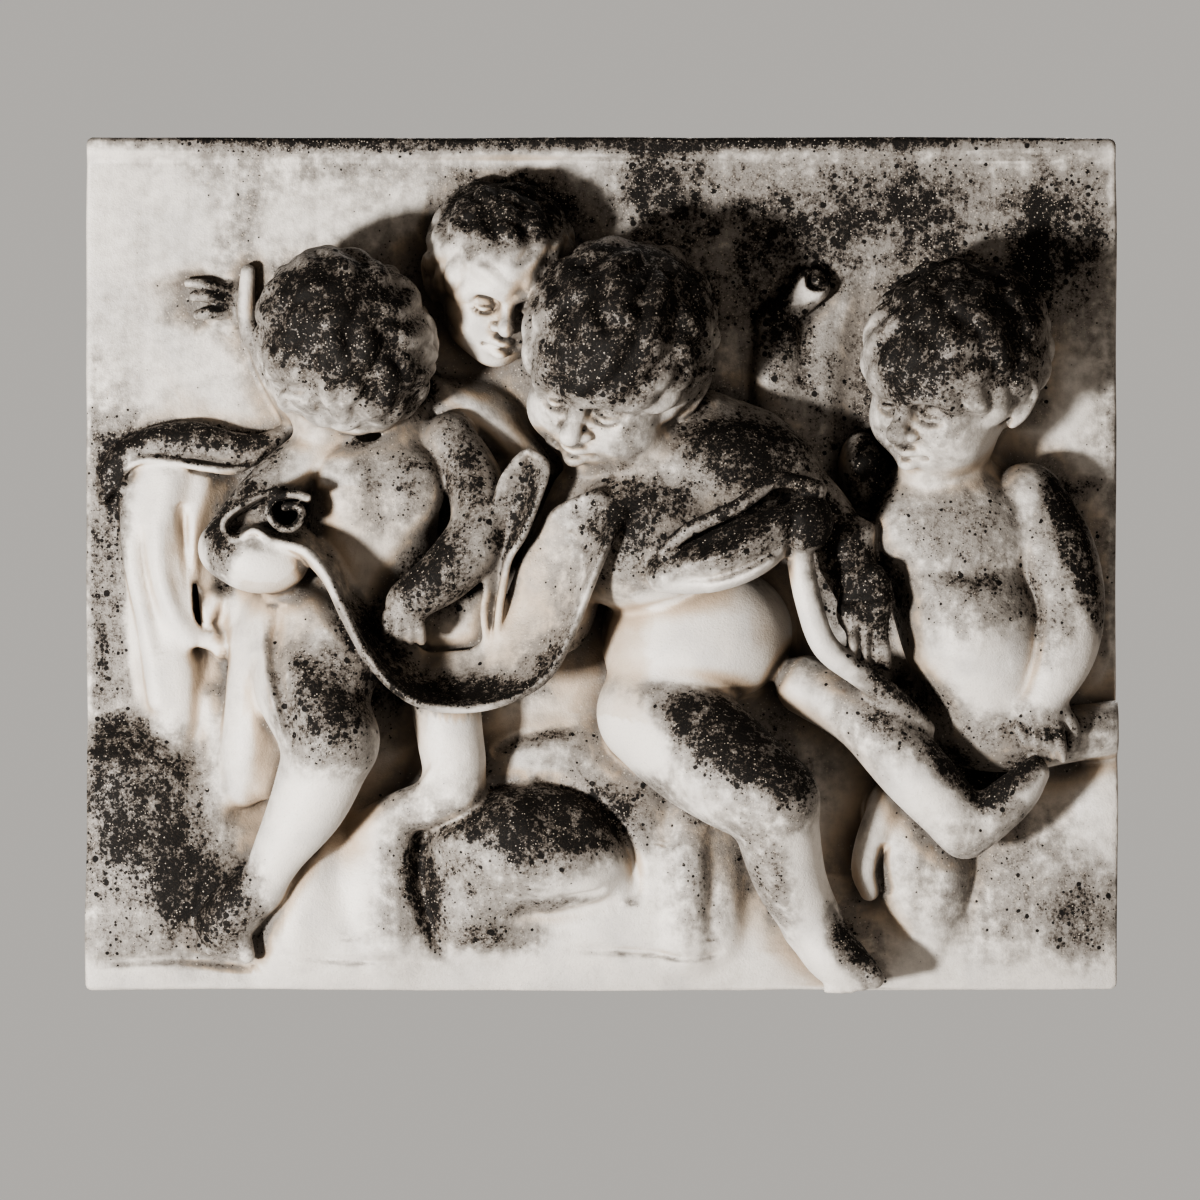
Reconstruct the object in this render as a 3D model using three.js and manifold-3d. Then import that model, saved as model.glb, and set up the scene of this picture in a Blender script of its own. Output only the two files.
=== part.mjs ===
import * as THREE from 'three';
import { LoftGeometry } from 'three/addons/geometries/LoftGeometry.js';
import { mergeVertices } from 'three/addons/utils/BufferGeometryUtils.js';
import Module from 'manifold-3d';

const wasm = await Module();
wasm.setup();

// Slab, in millimetres.
const WIDTH = 620;
const HEIGHT = 513;
const THICK = 22;
const CORNER = 6;
const LIP_HEIGHT = 11;
const LIP_OUT = 4;
const GROUND_HEIGHT = 22;
const GROUND_RISE = 90;
const GROUND_OUT = 10;
const EMBED = 3;
const CLOTH = 6;
const DOME_OUT = 0.8;
const DOME_RADIUS = 0.58;
const TOE_TAPER = 0.34;
const TOE_SHARES = [0, 0.28, 0.54, 0.78, 1];
const FINGER_SHARES = [0, 0.34, 0.67, 1];
const FINE = { sides: 4, round: false };
const SLENDER = { sides: 5 };
const FOLD = { sides: 4 };
const HEAD_SIDES = 15;
const HEAD_ROWS = 9;
const LOCK = 0.24;
const LOCK_ROWS = [{ row: 0.40, rise: 0.56 }, { row: -0.10, rise: 0.66 }, { row: -0.60, rise: 0.52 }];
const LOCK_DEGREES = [-68, -23, 23, 68];

// Every place is [x, z, w]: x to the right, z up, w outward from the slab's front face.
// A point of a limb adds its radius.
const place = ([x, z, w]) => new THREE.Vector3(x, -(THICK + w), z);
const direction = ([x, z, w]) => new THREE.Vector3(x, -w, z);
const between = (a, b, t) => a.map((value, i) => value + (b[i] - value) * t);

function solid(geometry) {
  geometry.deleteAttribute('normal');
  geometry.deleteAttribute('uv');
  const merged = mergeVertices(geometry, 1e-4);
  const mesh = new wasm.Mesh({
    numProp: 3,
    vertProperties: new Float32Array(merged.attributes.position.array),
    triVerts: new Uint32Array(merged.index.array),
  });
  mesh.merge();
  return new wasm.Manifold(mesh);
}

const join = (solids) => wasm.Manifold.union(solids);

// An ellipsoid: turned in the picture plane by degrees, or set by three axes.
function ball(centre, radii, turn = 0, axes = null, sides = 9) {
  const a = THREE.MathUtils.degToRad(turn);
  const rows = axes ?? [[Math.cos(a), Math.sin(a), 0], [-Math.sin(a), Math.cos(a), 0], [0, 0, 1]];
  const [u, v, n] = rows.map((row, i) => direction(row).normalize().multiplyScalar(radii[i]));
  const geometry = new THREE.SphereGeometry(1, sides, Math.round(sides * 0.66));
  const matrix = new THREE.Matrix4().makeBasis(u, n.clone().negate(), v);
  matrix.setPosition(place(centre));
  geometry.applyMatrix4(matrix);
  return solid(geometry);
}

// A round bar with rounded ends along a smooth curve. Flat is its depth as a share of its width.
function limb(points, { sides = 6, flat = 1, round = true } = {}) {
  const centres = new THREE.CatmullRomCurve3(points.map(place), false, 'catmullrom', 0.5);
  const spans = points.length - 1;
  const stations = [];
  for (const [i, point] of points.entries()) {
    const t = i / spans;
    stations.push({ centre: centres.getPoint(t), tangent: centres.getTangent(t), radius: point[3] });
  }
  const rounded = round ? [dome(stations[0], -1), ...stations, dome(stations.at(-1), 1)] : stations;
  const normal = new THREE.Vector3(0, 1, 0).cross(rounded[0].tangent);
  if (normal.length() < 0.1) normal.set(1, 0, 0);
  const rings = rounded.map(({ centre, tangent, radius }) => {
    normal.addScaledVector(tangent, -normal.dot(tangent)).normalize();
    const across = tangent.clone().cross(normal);
    return Array.from({ length: sides }, (_, k) => {
      const angle = (2 * Math.PI * k) / sides;
      const out = normal.clone().multiplyScalar(Math.cos(angle) * radius);
      out.addScaledVector(across, Math.sin(angle) * radius);
      out.y *= flat;
      return out.add(centre);
    });
  });
  return solid(new LoftGeometry(rings, { closed: true, capStart: true, capEnd: true }));
}

// The ring that rounds off one end of a bar.
function dome({ centre, tangent, radius }, side) {
  const moved = centre.clone().addScaledVector(tangent, side * radius * DOME_OUT);
  return { centre: moved, tangent, radius: radius * DOME_RADIUS };
}

// A bar along x with a given section, points [w, z].
function moulding(section, from, to) {
  const shape = new THREE.Shape(section.map(([w, z]) => new THREE.Vector2(w, z)));
  const geometry = new THREE.ExtrudeGeometry(shape, { depth: to - from, bevelEnabled: false });
  const axes = [new THREE.Vector3(0, -1, 0), new THREE.Vector3(0, 0, 1), new THREE.Vector3(-1, 0, 0)];
  const matrix = new THREE.Matrix4().makeBasis(...axes);
  matrix.setPosition(to, -THICK, 0);
  geometry.applyMatrix4(matrix);
  return solid(geometry);
}

// How far a ray from the head's middle runs before it leaves an ellipsoid, or 0 if it misses.
function reach(ray, { middle, radii }) {
  let a = 0;
  let b = 0;
  let c = -1;
  for (let i = 0; i < 3; i += 1) {
    a += (ray[i] / radii[i]) ** 2;
    b += (ray[i] * middle[i]) / radii[i] ** 2;
    c += (middle[i] / radii[i]) ** 2;
  }
  const inside = b * b - a * c;
  return inside < 0 ? 0 : (b + Math.sqrt(inside)) / a;
}

// The lumps of a child's head in head units, (right, up, forward), two units tall.
function headLumps() {
  const lumps = [
    { middle: [0, 0.21, -0.13], radii: [0.79, 0.79, 0.91] },
    { middle: [0, -0.28, 0.20], radii: [0.62, 0.66, 0.62] },
    { middle: [0, -0.72, 0.46], radii: [0.24, 0.22, 0.24] },
    { middle: [0, -0.20, 0.80], radii: [0.13, 0.24, 0.17] },
    { middle: [0, -0.56, 0.68], radii: [0.20, 0.12, 0.13] },
  ];
  for (const side of [-1, 1]) {
    lumps.push({ middle: [side * 0.34, -0.40, 0.46], radii: [0.28, 0.28, 0.28] });
    lumps.push({ middle: [side * 0.28, 0.12, 0.64], radii: [0.24, 0.10, 0.16] });
    lumps.push({ middle: [side * 0.78, -0.10, -0.05], radii: [0.12, 0.24, 0.17] });
  }
  for (const { row, rise } of LOCK_ROWS) {
    for (const degrees of LOCK_DEGREES) {
      const a = THREE.MathUtils.degToRad(degrees + row * 40);
      const middle = [rise * Math.sin(a), 0.22 + rise * Math.cos(a), row];
      lumps.push({ middle, radii: [LOCK, LOCK, LOCK] });
    }
  }
  return lumps;
}

// A head turned to face one way with its crown another way: a ball pushed out to its lumps.
function head(centre, size, facing, crown) {
  const forward = direction(facing).normalize();
  const up = direction(crown);
  up.addScaledVector(forward, -up.dot(forward)).normalize();
  const right = up.clone().cross(forward);
  const lumps = headLumps();
  const geometry = new THREE.SphereGeometry(1, HEAD_SIDES, HEAD_ROWS);
  const { position } = geometry.attributes;
  for (let i = 0; i < position.count; i += 1) {
    const ray = new THREE.Vector3().fromBufferAttribute(position, i).normalize();
    const far = Math.max(...lumps.map((lump) => reach(ray.toArray(), lump)));
    position.setXYZ(i, ...ray.multiplyScalar(far * size).toArray());
  }
  const matrix = new THREE.Matrix4().makeBasis(right, up, forward);
  matrix.setPosition(place(centre));
  geometry.applyMatrix4(matrix);
  return solid(geometry);
}

// A palm with four fingers fanned between the first and the last.
function hand({ palm, radii, turn, knuckles, tips, lift = 4, finger = 5, thumb = null }) {
  const pieces = [ball(palm, radii, turn, null, 6)];
  for (const share of FINGER_SHARES) {
    const start = between(knuckles[0], knuckles[1], share);
    const tip = between(tips[0], tips[1], share);
    const middle = between(start, tip, 0.55);
    middle[2] += lift;
    const r = finger * (1 - 0.22 * Math.abs(share - 0.4));
    pieces.push(limb([[...start, r], [...middle, r * 0.95], [...tip, r * 0.78]], FINE));
  }
  if (thumb) pieces.push(limb(thumb, FINE));
  return join(pieces);
}

// A heel-to-ball bar with five toes between the first and the last.
function foot({ sole, root, toes, toe }) {
  const pieces = [limb(sole, { sides: 6 })];
  for (const share of TOE_SHARES) {
    const r = toe * (1 - TOE_TAPER * share);
    const start = between(root[0], root[1], share);
    const tip = between(toes[0], toes[1], share);
    pieces.push(limb([[...start, r], [...tip, r * 0.85]], FINE));
  }
  return join(pieces);
}

// Cloth between a front edge and a rear edge, hung back and down between them.
function sheet(front, rear, { sag = 10, steps = 4 } = {}) {
  const smooth = (edge) => new THREE.CatmullRomCurve3(edge.map(place), false, 'catmullrom', 0.5);
  const rails = [smooth(front), smooth(rear)];
  const count = front.length - 1;
  const rings = [];
  for (let i = 0; i <= count; i += 1) {
    const [a, b] = rails.map((rail) => rail.getPoint(i / count));
    const across = b.clone().sub(a);
    const along = rails[0].getTangent(i / count);
    const normal = along.clone().cross(across).normalize();
    const ring = [];
    for (let k = 0; k <= 2 * steps + 1; k += 1) {
      const under = k > steps;
      const t = under ? (2 * steps + 1 - k) / steps : k / steps;
      const p = a.clone().addScaledVector(across, t);
      p.addScaledVector(normal, -sag * 4 * t * (1 - t) + (under ? -CLOTH : 0));
      ring.push(p);
    }
    rings.push(ring.reverse());
  }
  return solid(new LoftGeometry(rings, { closed: true, capStart: true, capEnd: true }));
}

function slab() {
  const x = WIDTH / 2;
  const z = HEIGHT / 2;
  const outline = new THREE.Shape();
  outline.moveTo(-x + CORNER, -z);
  outline.lineTo(x - CORNER, -z);
  outline.lineTo(x, -z + CORNER);
  outline.lineTo(x, z - CORNER);
  outline.lineTo(x - CORNER, z);
  outline.lineTo(-x + CORNER, z);
  outline.lineTo(-x, z - CORNER);
  outline.lineTo(-x, -z + CORNER);
  outline.closePath();
  const board = new THREE.ExtrudeGeometry(outline, { depth: THICK, bevelEnabled: false });
  board.rotateX(Math.PI / 2);
  const inset = x - CORNER;
  const lip = [[-EMBED, z - LIP_HEIGHT - 4], [0, z - LIP_HEIGHT - 4], [LIP_OUT, z - LIP_HEIGHT + 3]];
  lip.push([LIP_OUT, z - 2], [-EMBED, z - 1]);
  const ground = [[-EMBED, -z + 1], [GROUND_OUT, -z + 3], [GROUND_OUT, -z + GROUND_HEIGHT]];
  ground.push([0, -z + GROUND_RISE], [-EMBED, -z + GROUND_RISE]);
  return [solid(board), moulding(lip, -inset, inset), moulding(ground, -inset, inset)];
}

function rocks() {
  const mounds = [
    ball([-10, -179, -2], [110, 82, 27], 0, null, 9),
    ball([-139, -207, -2], [80, 60, 26], 0, null, 8),
  ];
  const boulder = [
    ball([-43, -171, 6], [68, 41, 40], -8),
    ball([-73, -205, 2], [39, 38, 34], 20, null, 7),
  ];
  const slope = ball([263, -202, -12], [78, 84, 28], 0, null, 8);
  const bulge = ball([301, -142, -4], [26, 34, 18], 0, null, 6);
  const corner = [
    ball([-277, -142, -6], [46, 46, 25], 0, null, 7),
    ball([-260, -189, -6], [60, 46, 26], 0, null, 7),
  ];
  const swells = [
    [[-178, -178, 8, 17], [-184, -226, 8, 17]],
    [[-128, -163, 10, 17], [-126, -226, 8, 19]],
    [[53, -151, 8, 15], [55, -184, 14, 16], [53, -229, 8, 15]],
  ];
  const ledge = limb([
    [186, -81, 4, 13], [214, -102, 16, 19], [245, -107, 20, 19], [275, -103, 20, 18], [301, -98, 12, 16],
  ]);
  const lobe = limb([[184, -149, 8, 25], [188, -178, 12, 31], [196, -207, 8, 23], [200, -230, 4, 8]]);
  const tongue = limb([
    [172, -142, 20, 11], [160, -166, 26, 10], [157, -184, 27, 9], [162, -200, 22, 7],
  ], SLENDER);
  const folds = swells.map((swell) => limb(swell, FOLD));
  return [...mounds, ...boulder, slope, bulge, ...corner, ...folds, ledge, lobe, tongue];
}

function leftDrapery() {
  const cloth = limb([
    [-260, 53, -8, 26], [-262, 14, -6, 25], [-262, -28, -4, 21], [-258, -70, -2, 18], [-256, -91, -3, 15],
  ]);
  const roll = limb([
    [-298, 41, 2, 5], [-292, 58, 4, 8], [-271, 70, 5, 12], [-245, 73, 6, 13], [-222, 68, 6, 12],
    [-204, 70, 6, 8], [-188, 79, 4, 5],
  ], SLENDER);
  const folds = [
    [[-284, 44, 6, 6], [-281, 2, 9, 6], [-271, -40, 11, 6], [-265, -82, 10, 6]],
    [[-259, 50, 14, 6], [-267, 8, 16, 7], [-258, -26, 16, 6], [-246, -46, 13, 5]],
    [[-238, 50, 8, 6], [-247, 8, 12, 7], [-245, -28, 13, 6], [-238, -46, 10, 5]],
    [[-211, -22, 6, 15], [-210, -76, 8, 15], [-217, -133, 4, 10]],
  ];
  return [cloth, roll, ...folds.map((fold) => limb(fold, FOLD))];
}

function backBoy() {
  const chest = ball([-74, 83, 2], [32, 24, 14], -30);
  const shoulder = limb([[-104, 103, 4, 11], [-79, 89, 8, 13], [-49, 68, 8, 11], [-34, 53, 6, 8]], SLENDER);
  const forearm = limb([[-184, 92, 0, 10], [-196, 113, 2, 9], [-206, 137, 6, 8]], SLENDER);
  const raisedHand = hand({
    palm: [-222, 154, 5],
    radii: [14, 11, 7],
    turn: -20,
    knuckles: [[-230, 163, 6], [-227, 147, 6]],
    tips: [[-247, 165, 7], [-238, 145, 6]],
    lift: 2,
    finger: 4.2,
    thumb: [[-208, 141, 7, 5.5], [-209, 158, 8, 5], [-211, 179, 7, 4]],
  });
  const looking = head([-57, 172, 16], 51, [0.34, -0.42, 0.84], [0.16, 0.90, 0.42]);
  return [chest, shoulder, forearm, raisedHand, looking];
}

function leftBoy() {
  const torso = limb([[-130, 74, 14, 30], [-134, 41, 20, 38], [-145, -10, 10, 40]], { flat: 0.8 });
  const breasts = [
    ball([-150, 44, 38], [20, 24, 16], 10, null, 6),
    ball([-114, 43, 38], [20, 24, 16], -5, null, 6),
  ];
  const rightArm = limb([[-170, 67, 24, 16], [-198, 43, 34, 16], [-222, 9, 46, 18]], SLENDER);
  const rightFist = ball([-204, 2, 56], [30, 20, 22], -8, null, 8);
  const leftArm = limb([
    [-91, 74, 26, 16], [-76, 49, 38, 17], [-72, 20, 50, 19], [-91, -5, 58, 17], [-114, -22, 60, 13],
  ]);
  const leftHand = hand({
    palm: [-116, -27, 60],
    radii: [14, 11, 8],
    turn: 60,
    knuckles: [[-126, -31, 64], [-109, -35, 62]],
    tips: [[-128, -45, 58], [-107, -46, 54]],
    finger: 4.6,
  });
  const lap = limb([[-190, -25, 26, 21], [-170, -41, 42, 23], [-154, -63, 50, 23]]);
  const thigh = limb([[-190, -46, 22, 29], [-174, -76, 46, 32], [-160, -103, 60, 29]]);
  const shin = limb([
    [-161, -109, 58, 28], [-174, -142, 48, 24], [-192, -172, 36, 17], [-204, -195, 28, 13],
  ]);
  const rightFoot = foot({
    sole: [[-204, -193, 26, 14], [-217, -205, 24, 18], [-226, -217, 20, 17]],
    root: [[-215, -223, 24], [-238, -217, 18]],
    toes: [[-212, -234, 24], [-239, -230, 18]],
    toe: 6,
  });
  const calf = limb([
    [-94, -76, 28, 22], [-88, -112, 27, 20], [-89, -135, 26, 17], [-112, -146, 22, 13],
    [-140, -158, 12, 10],
  ]);
  const bowed = head([-154, 129, 42], 58, [0.60, -0.72, -0.34], [0.66, 0.18, 0.72]);
  const legs = [lap, thigh, shin, rightFoot, calf];
  return [torso, ...breasts, rightArm, rightFist, leftArm, leftHand, ...legs, bowed];
}

function centreBoy() {
  const belly = ball([56, -44, 16], [57, 43, 42], 0, null, 9);
  const chest = ball([32, 20, 38], [54, 46, 40], 25, null, 9);
  const shoulders = limb([[29, 57, 40, 28], [71, 57, 38, 37], [100, 55, 32, 30]]);
  const leftArm = limb([[110, 50, 34, 20], [132, 26, 38, 19], [146, 1, 46, 17], [156, -25, 54, 13]]);
  const leftHand = hand({
    palm: [158, -35, 60],
    radii: [15, 12, 9],
    turn: -75,
    knuckles: [[149, -41, 64], [166, -43, 62]],
    tips: [[149, -59, 60], [169, -61, 56]],
    lift: 5,
    finger: 4.6,
  });
  const rightArm = limb([[-7, 39, 44, 20], [-18, 14, 50, 18], [-36, -37, 56, 11]], SLENDER);
  const leftLeg = limb([[122, -73, 22, 19], [155, -91, 42, 21], [184, -122, 50, 22], [208, -148, 48, 20]]);
  const leftFoot = limb([
    [216, -159, 46, 17], [232, -149, 48, 16], [247, -136, 50, 14], [257, -125, 50, 9],
  ]);
  const thigh = limb([[32, -89, 24, 36], [56, -109, 44, 37], [83, -129, 62, 33], [101, -139, 70, 28]]);
  const shin = limb([[102, -142, 68, 27], [106, -166, 60, 25], [113, -190, 50, 22], [124, -211, 42, 18]]);
  const rightFoot = foot({
    sole: [[126, -217, 38, 17], [136, -231, 42, 18], [144, -239, 42, 16]],
    root: [[156, -239, 48], [137, -248, 44]],
    toes: [[162, -247, 50], [136, -254, 46]],
    toe: 7,
  });
  const bent = head([7, 121, 54], 64, [-0.42, -0.56, 0.72], [0.10, 0.80, 0.60]);
  const arms = [leftArm, leftHand, rightArm];
  return [belly, chest, shoulders, ...arms, leftLeg, leftFoot, thigh, shin, rightFoot, bent];
}

function rightBoy() {
  const torso = limb([[206, 35, 14, 39], [210, 2, 18, 43], [221, -37, 20, 44], [233, -76, 12, 39]]);
  const breasts = [
    ball([184, 19, 34], [27, 27, 19], 0, null, 6),
    ball([228, 17, 36], [29, 27, 19], 0, null, 6),
  ];
  const belly = ball([223, -43, 30], [37, 35, 35], 0, null, 7);
  const shoulder = ball([158, 53, 10], [16, 26, 16], 10, null, 7);
  const forearm = limb([[119, 56, 4, 17], [113, 86, 6, 16], [112, 122, 8, 13], [116, 140, 9, 11]], SLENDER);
  const fist = hand({
    palm: [126, 155, 10],
    radii: [13, 18, 10],
    turn: 10,
    knuckles: [[119, 166, 12], [121, 145, 12]],
    tips: [[133, 164, 13], [134, 146, 12]],
    lift: 3,
    finger: 4.4,
  });
  const leftArm = limb([
    [254, 37, 22, 24], [269, 8, 28, 26], [278, -22, 34, 23], [275, -51, 38, 21], [264, -77, 38, 15],
  ]);
  const leftHand = hand({
    palm: [259, -91, 42],
    radii: [17, 14, 10],
    turn: 0,
    knuckles: [[248, -97, 47], [271, -98, 46]],
    tips: [[254, -112, 44], [274, -116, 44]],
    finger: 4.6,
    thumb: [[274, -88, 40, 5], [280, -99, 40, 5], [279, -109, 37, 4]],
  });
  const turned = head([212, 115, 44], 61, [-0.62, -0.40, 0.66], [-0.10, 0.86, 0.50]);
  return [torso, ...breasts, belly, shoulder, forearm, fist, leftArm, leftHand, turned];
}

function swag() {
  const front = [
    [-212, 15, 66], [-175, 7, 78], [-152, -28, 85], [-125, -71, 83], [-91, -85, 78], [-54, -80, 73],
    [-25, -55, 73], [-7, -13, 79], [5, 14, 82], [12, 27, 76],
  ];
  const rear = [
    [-204, 31, 50], [-166, 11, 39], [-140, -21, 34], [-115, -49, 33], [-88, -56, 36], [-61, -38, 44],
    [-46, -4, 52], [-28, 28, 62], [-12, 37, 68], [-1, 40, 70],
  ];
  const bowl = sheet(front, rear);
  const lining = ball([-88, -28, 8], [56, 44, 26], -10);
  const inner = ball([-25, -10, 22], [24, 45, 22]);
  const hem = sheet(
    [[-43, 66, 64], [-33, 55, 74], [-38, 37, 76], [-48, 14, 72], [-59, -16, 60], [-62, -49, 44]],
    [[-46, 65, 62], [-58, 50, 64], [-63, 34, 64], [-68, 17, 61], [-68, -12, 55], [-68, -49, 42]],
    { sag: 5, steps: 3 },
  );
  const bundle = limb([[37, -7, 80, 11], [59, -2, 84, 16], [89, 10, 86, 18], [119, 25, 82, 16]]);
  const strap = limb([
    [36, 6, 88, 4], [51, 19, 93, 4.5], [80, 33, 96, 4.5], [101, 48, 91, 5], [127, 43, 80, 6],
  ], SLENDER);
  const band = limb([
    [116, 9, 78, 8], [122, -22, 76, 8], [132, -49, 72, 8], [152, -65, 66, 8], [174, -81, 58, 7],
    [194, -98, 48, 4],
  ], SLENDER);
  const rolledEnd = limb([[-185, 29, 40, 13], [-185, 29, 70, 13]]);
  const corner = limb([[-191, 37, 58, 8], [-206, 31, 64, 11], [-218, 22, 64, 8]], SLENDER);
  return [bowl, lining, inner, hem, bundle, strap, band, rolledEnd, corner];
}

// The open end of the rolled cloth and the hollow of its folded corner.
function hollows() {
  const tube = limb([[-185, 29, 62, 8], [-185, 29, 100, 8]], SLENDER);
  const fold = limb([[-196, 32, 72, 4], [-208, 28, 76, 6], [-215, 23, 74, 4]], SLENDER);
  return [tube, fold];
}

const pieces = [slab(), rocks(), leftDrapery(), backBoy(), leftBoy(), rightBoy(), swag(), centreBoy()];
const carved = join(pieces.flat()).subtract(join(hollows()));

// Nothing passes the wall face or the slab's edges.
const bounds = new THREE.BoxGeometry(WIDTH, 400, HEIGHT);
bounds.translate(0, -200, 0);
const relief = carved.intersect(solid(bounds));

const mesh = relief.getMesh();
const geometry = new THREE.BufferGeometry();
geometry.setAttribute('position', new THREE.BufferAttribute(new Float32Array(mesh.vertProperties), 3));
geometry.setIndex(new THREE.BufferAttribute(new Uint32Array(mesh.triVerts), 1));
geometry.computeVertexNormals();
const biscuit = new THREE.MeshStandardMaterial({ color: 0xc9c3ba, roughness: 0.62, metalness: 0 });
biscuit.name = 'weathered_biscuit';
const body = new THREE.Mesh(geometry, biscuit);
body.name = 'relief';

const part = new THREE.Group();
part.add(body);
export default part;
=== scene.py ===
"""Biscuit porcelain relief with four putti and a swag of cloth, weathered out of doors.

The relief is one casting. It is modelled as clay: every limb, head and fold is pressed into one
distance field, and the skin of that field is the mesh, so arms, cloth and heads can stand free of the slab.
Clay points are (x, z, w) in millimetres: x to the right, z up and w outward from the slab's front face.
A limb's point adds its radius, (x, z, w, r).
"""

from __future__ import annotations

import logging
import math
from dataclasses import dataclass, field
from enum import Enum
from typing import Callable

import bpy
import numpy as np
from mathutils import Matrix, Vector

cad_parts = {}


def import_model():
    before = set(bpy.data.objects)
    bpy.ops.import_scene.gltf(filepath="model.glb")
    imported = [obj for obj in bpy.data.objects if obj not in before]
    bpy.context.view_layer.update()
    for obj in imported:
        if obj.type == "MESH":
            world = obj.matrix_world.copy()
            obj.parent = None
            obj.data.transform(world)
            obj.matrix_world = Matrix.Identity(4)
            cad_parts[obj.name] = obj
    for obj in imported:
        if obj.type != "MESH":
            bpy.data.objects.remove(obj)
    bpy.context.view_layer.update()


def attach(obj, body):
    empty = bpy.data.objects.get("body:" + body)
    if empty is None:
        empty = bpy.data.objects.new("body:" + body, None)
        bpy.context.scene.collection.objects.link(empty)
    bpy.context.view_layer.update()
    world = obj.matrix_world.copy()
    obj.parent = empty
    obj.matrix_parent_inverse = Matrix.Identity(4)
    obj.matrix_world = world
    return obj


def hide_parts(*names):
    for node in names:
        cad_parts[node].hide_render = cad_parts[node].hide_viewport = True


Array = np.ndarray
Point = tuple[float, ...]
Path = tuple[Point, ...]
Distance = Callable[[Array, Array, Array], Array]

log = logging.getLogger("relief")

MM = 0.001
NODE = "relief"
BODY = "root"
SLOT = "weathered_biscuit"
PIECE = "putti_relief"


def smooth_min(a: Array, b: Array, blend: float) -> Array:
    """Union of two distances with a fillet: the lesser, less a quarter of blend where they are equal.

    Args:
        a, b: the distances.
        blend: how far from equal they may be for the fillet to show.

    Returns:
        The joined distance.
    """
    if blend <= 0:
        return np.minimum(a, b)
    near = np.maximum(blend - np.abs(a - b), 0.0) / blend
    return np.minimum(a, b) - near * near * (blend * 0.25)


def step(low: float, high: float, value: Array) -> Array:
    """A smooth rise from 0 at low to 1 at high: 3t squared less 2t cubed."""
    t = np.clip((value - low) / (high - low), 0.0, 1.0)
    return t * t * (3.0 - 2.0 * t)


def ripple(x: Array, z: Array, w: Array, size: float, seed: float) -> Array:
    """Soft lumps from -1 to 1: random heights on a lattice, blended between its points, in two sizes.

    Args:
        x, z, w: places in millimetres.
        size: the lattice step in millimetres.
        seed: picks the heights, so that two lumps differ.

    Returns:
        The lump height at each place.
    """
    heights = np.random.default_rng(int(abs(seed) * 100)).uniform(-1, 1, (16, 16, 16)).astype(np.float32)
    total = 0.0
    for finer, share in ((1.0, 0.68), (2.3, 0.32)):
        ends, ease = [], []
        for axis in (x, z, w):
            t = axis * (finer / size) + 5.3 * finer
            first = np.floor(t)
            ends.append((first.astype(int) % 16, (first.astype(int) + 1) % 16))
            ease.append(step(0.0, 1.0, t - first))
        for i, j, k in np.ndindex(2, 2, 2):
            weight = 1.0
            for corner, share_in in zip((i, j, k), ease):
                weight = weight * (share_in if corner else 1.0 - share_in)
            total = total + share * weight * heights[ends[0][i], ends[1][j], ends[2][k]]
    return total


def curve(path: Path, per_span: int = 6) -> Array:
    """Catmull-Rom curve through a path's points, with the radii carried along the same way.

    Args:
        path: points of 3 or 4 numbers.
        per_span: samples in each span.

    Returns:
        An array of samples, ends included.
    """
    p = np.array(path, np.float64)
    if len(p) < 3:
        t = np.linspace(0.0, 1.0, per_span + 1)[:, None]
        return p[0] + (p[-1] - p[0]) * t
    ends = np.vstack([2 * p[0] - p[1], p, 2 * p[-1] - p[-2]])
    a, b, c, d = ends[:-3, None], ends[1:-2, None], ends[2:-1, None], ends[3:, None]
    t = np.linspace(0.0, 1.0, per_span, endpoint=False)[None, :, None]
    spans = 0.5 * (2 * b + (c - a) * t + (2 * a - 5 * b + 4 * c - d) * t**2 + (3 * b - a - 3 * c + d) * t**3)
    return np.vstack([spans.reshape(-1, p.shape[1]), p[-1]])


def unit(v: Point) -> Array:
    """A vector at length 1."""
    v = np.array(v, np.float64)
    return v / np.linalg.norm(v)


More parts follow.
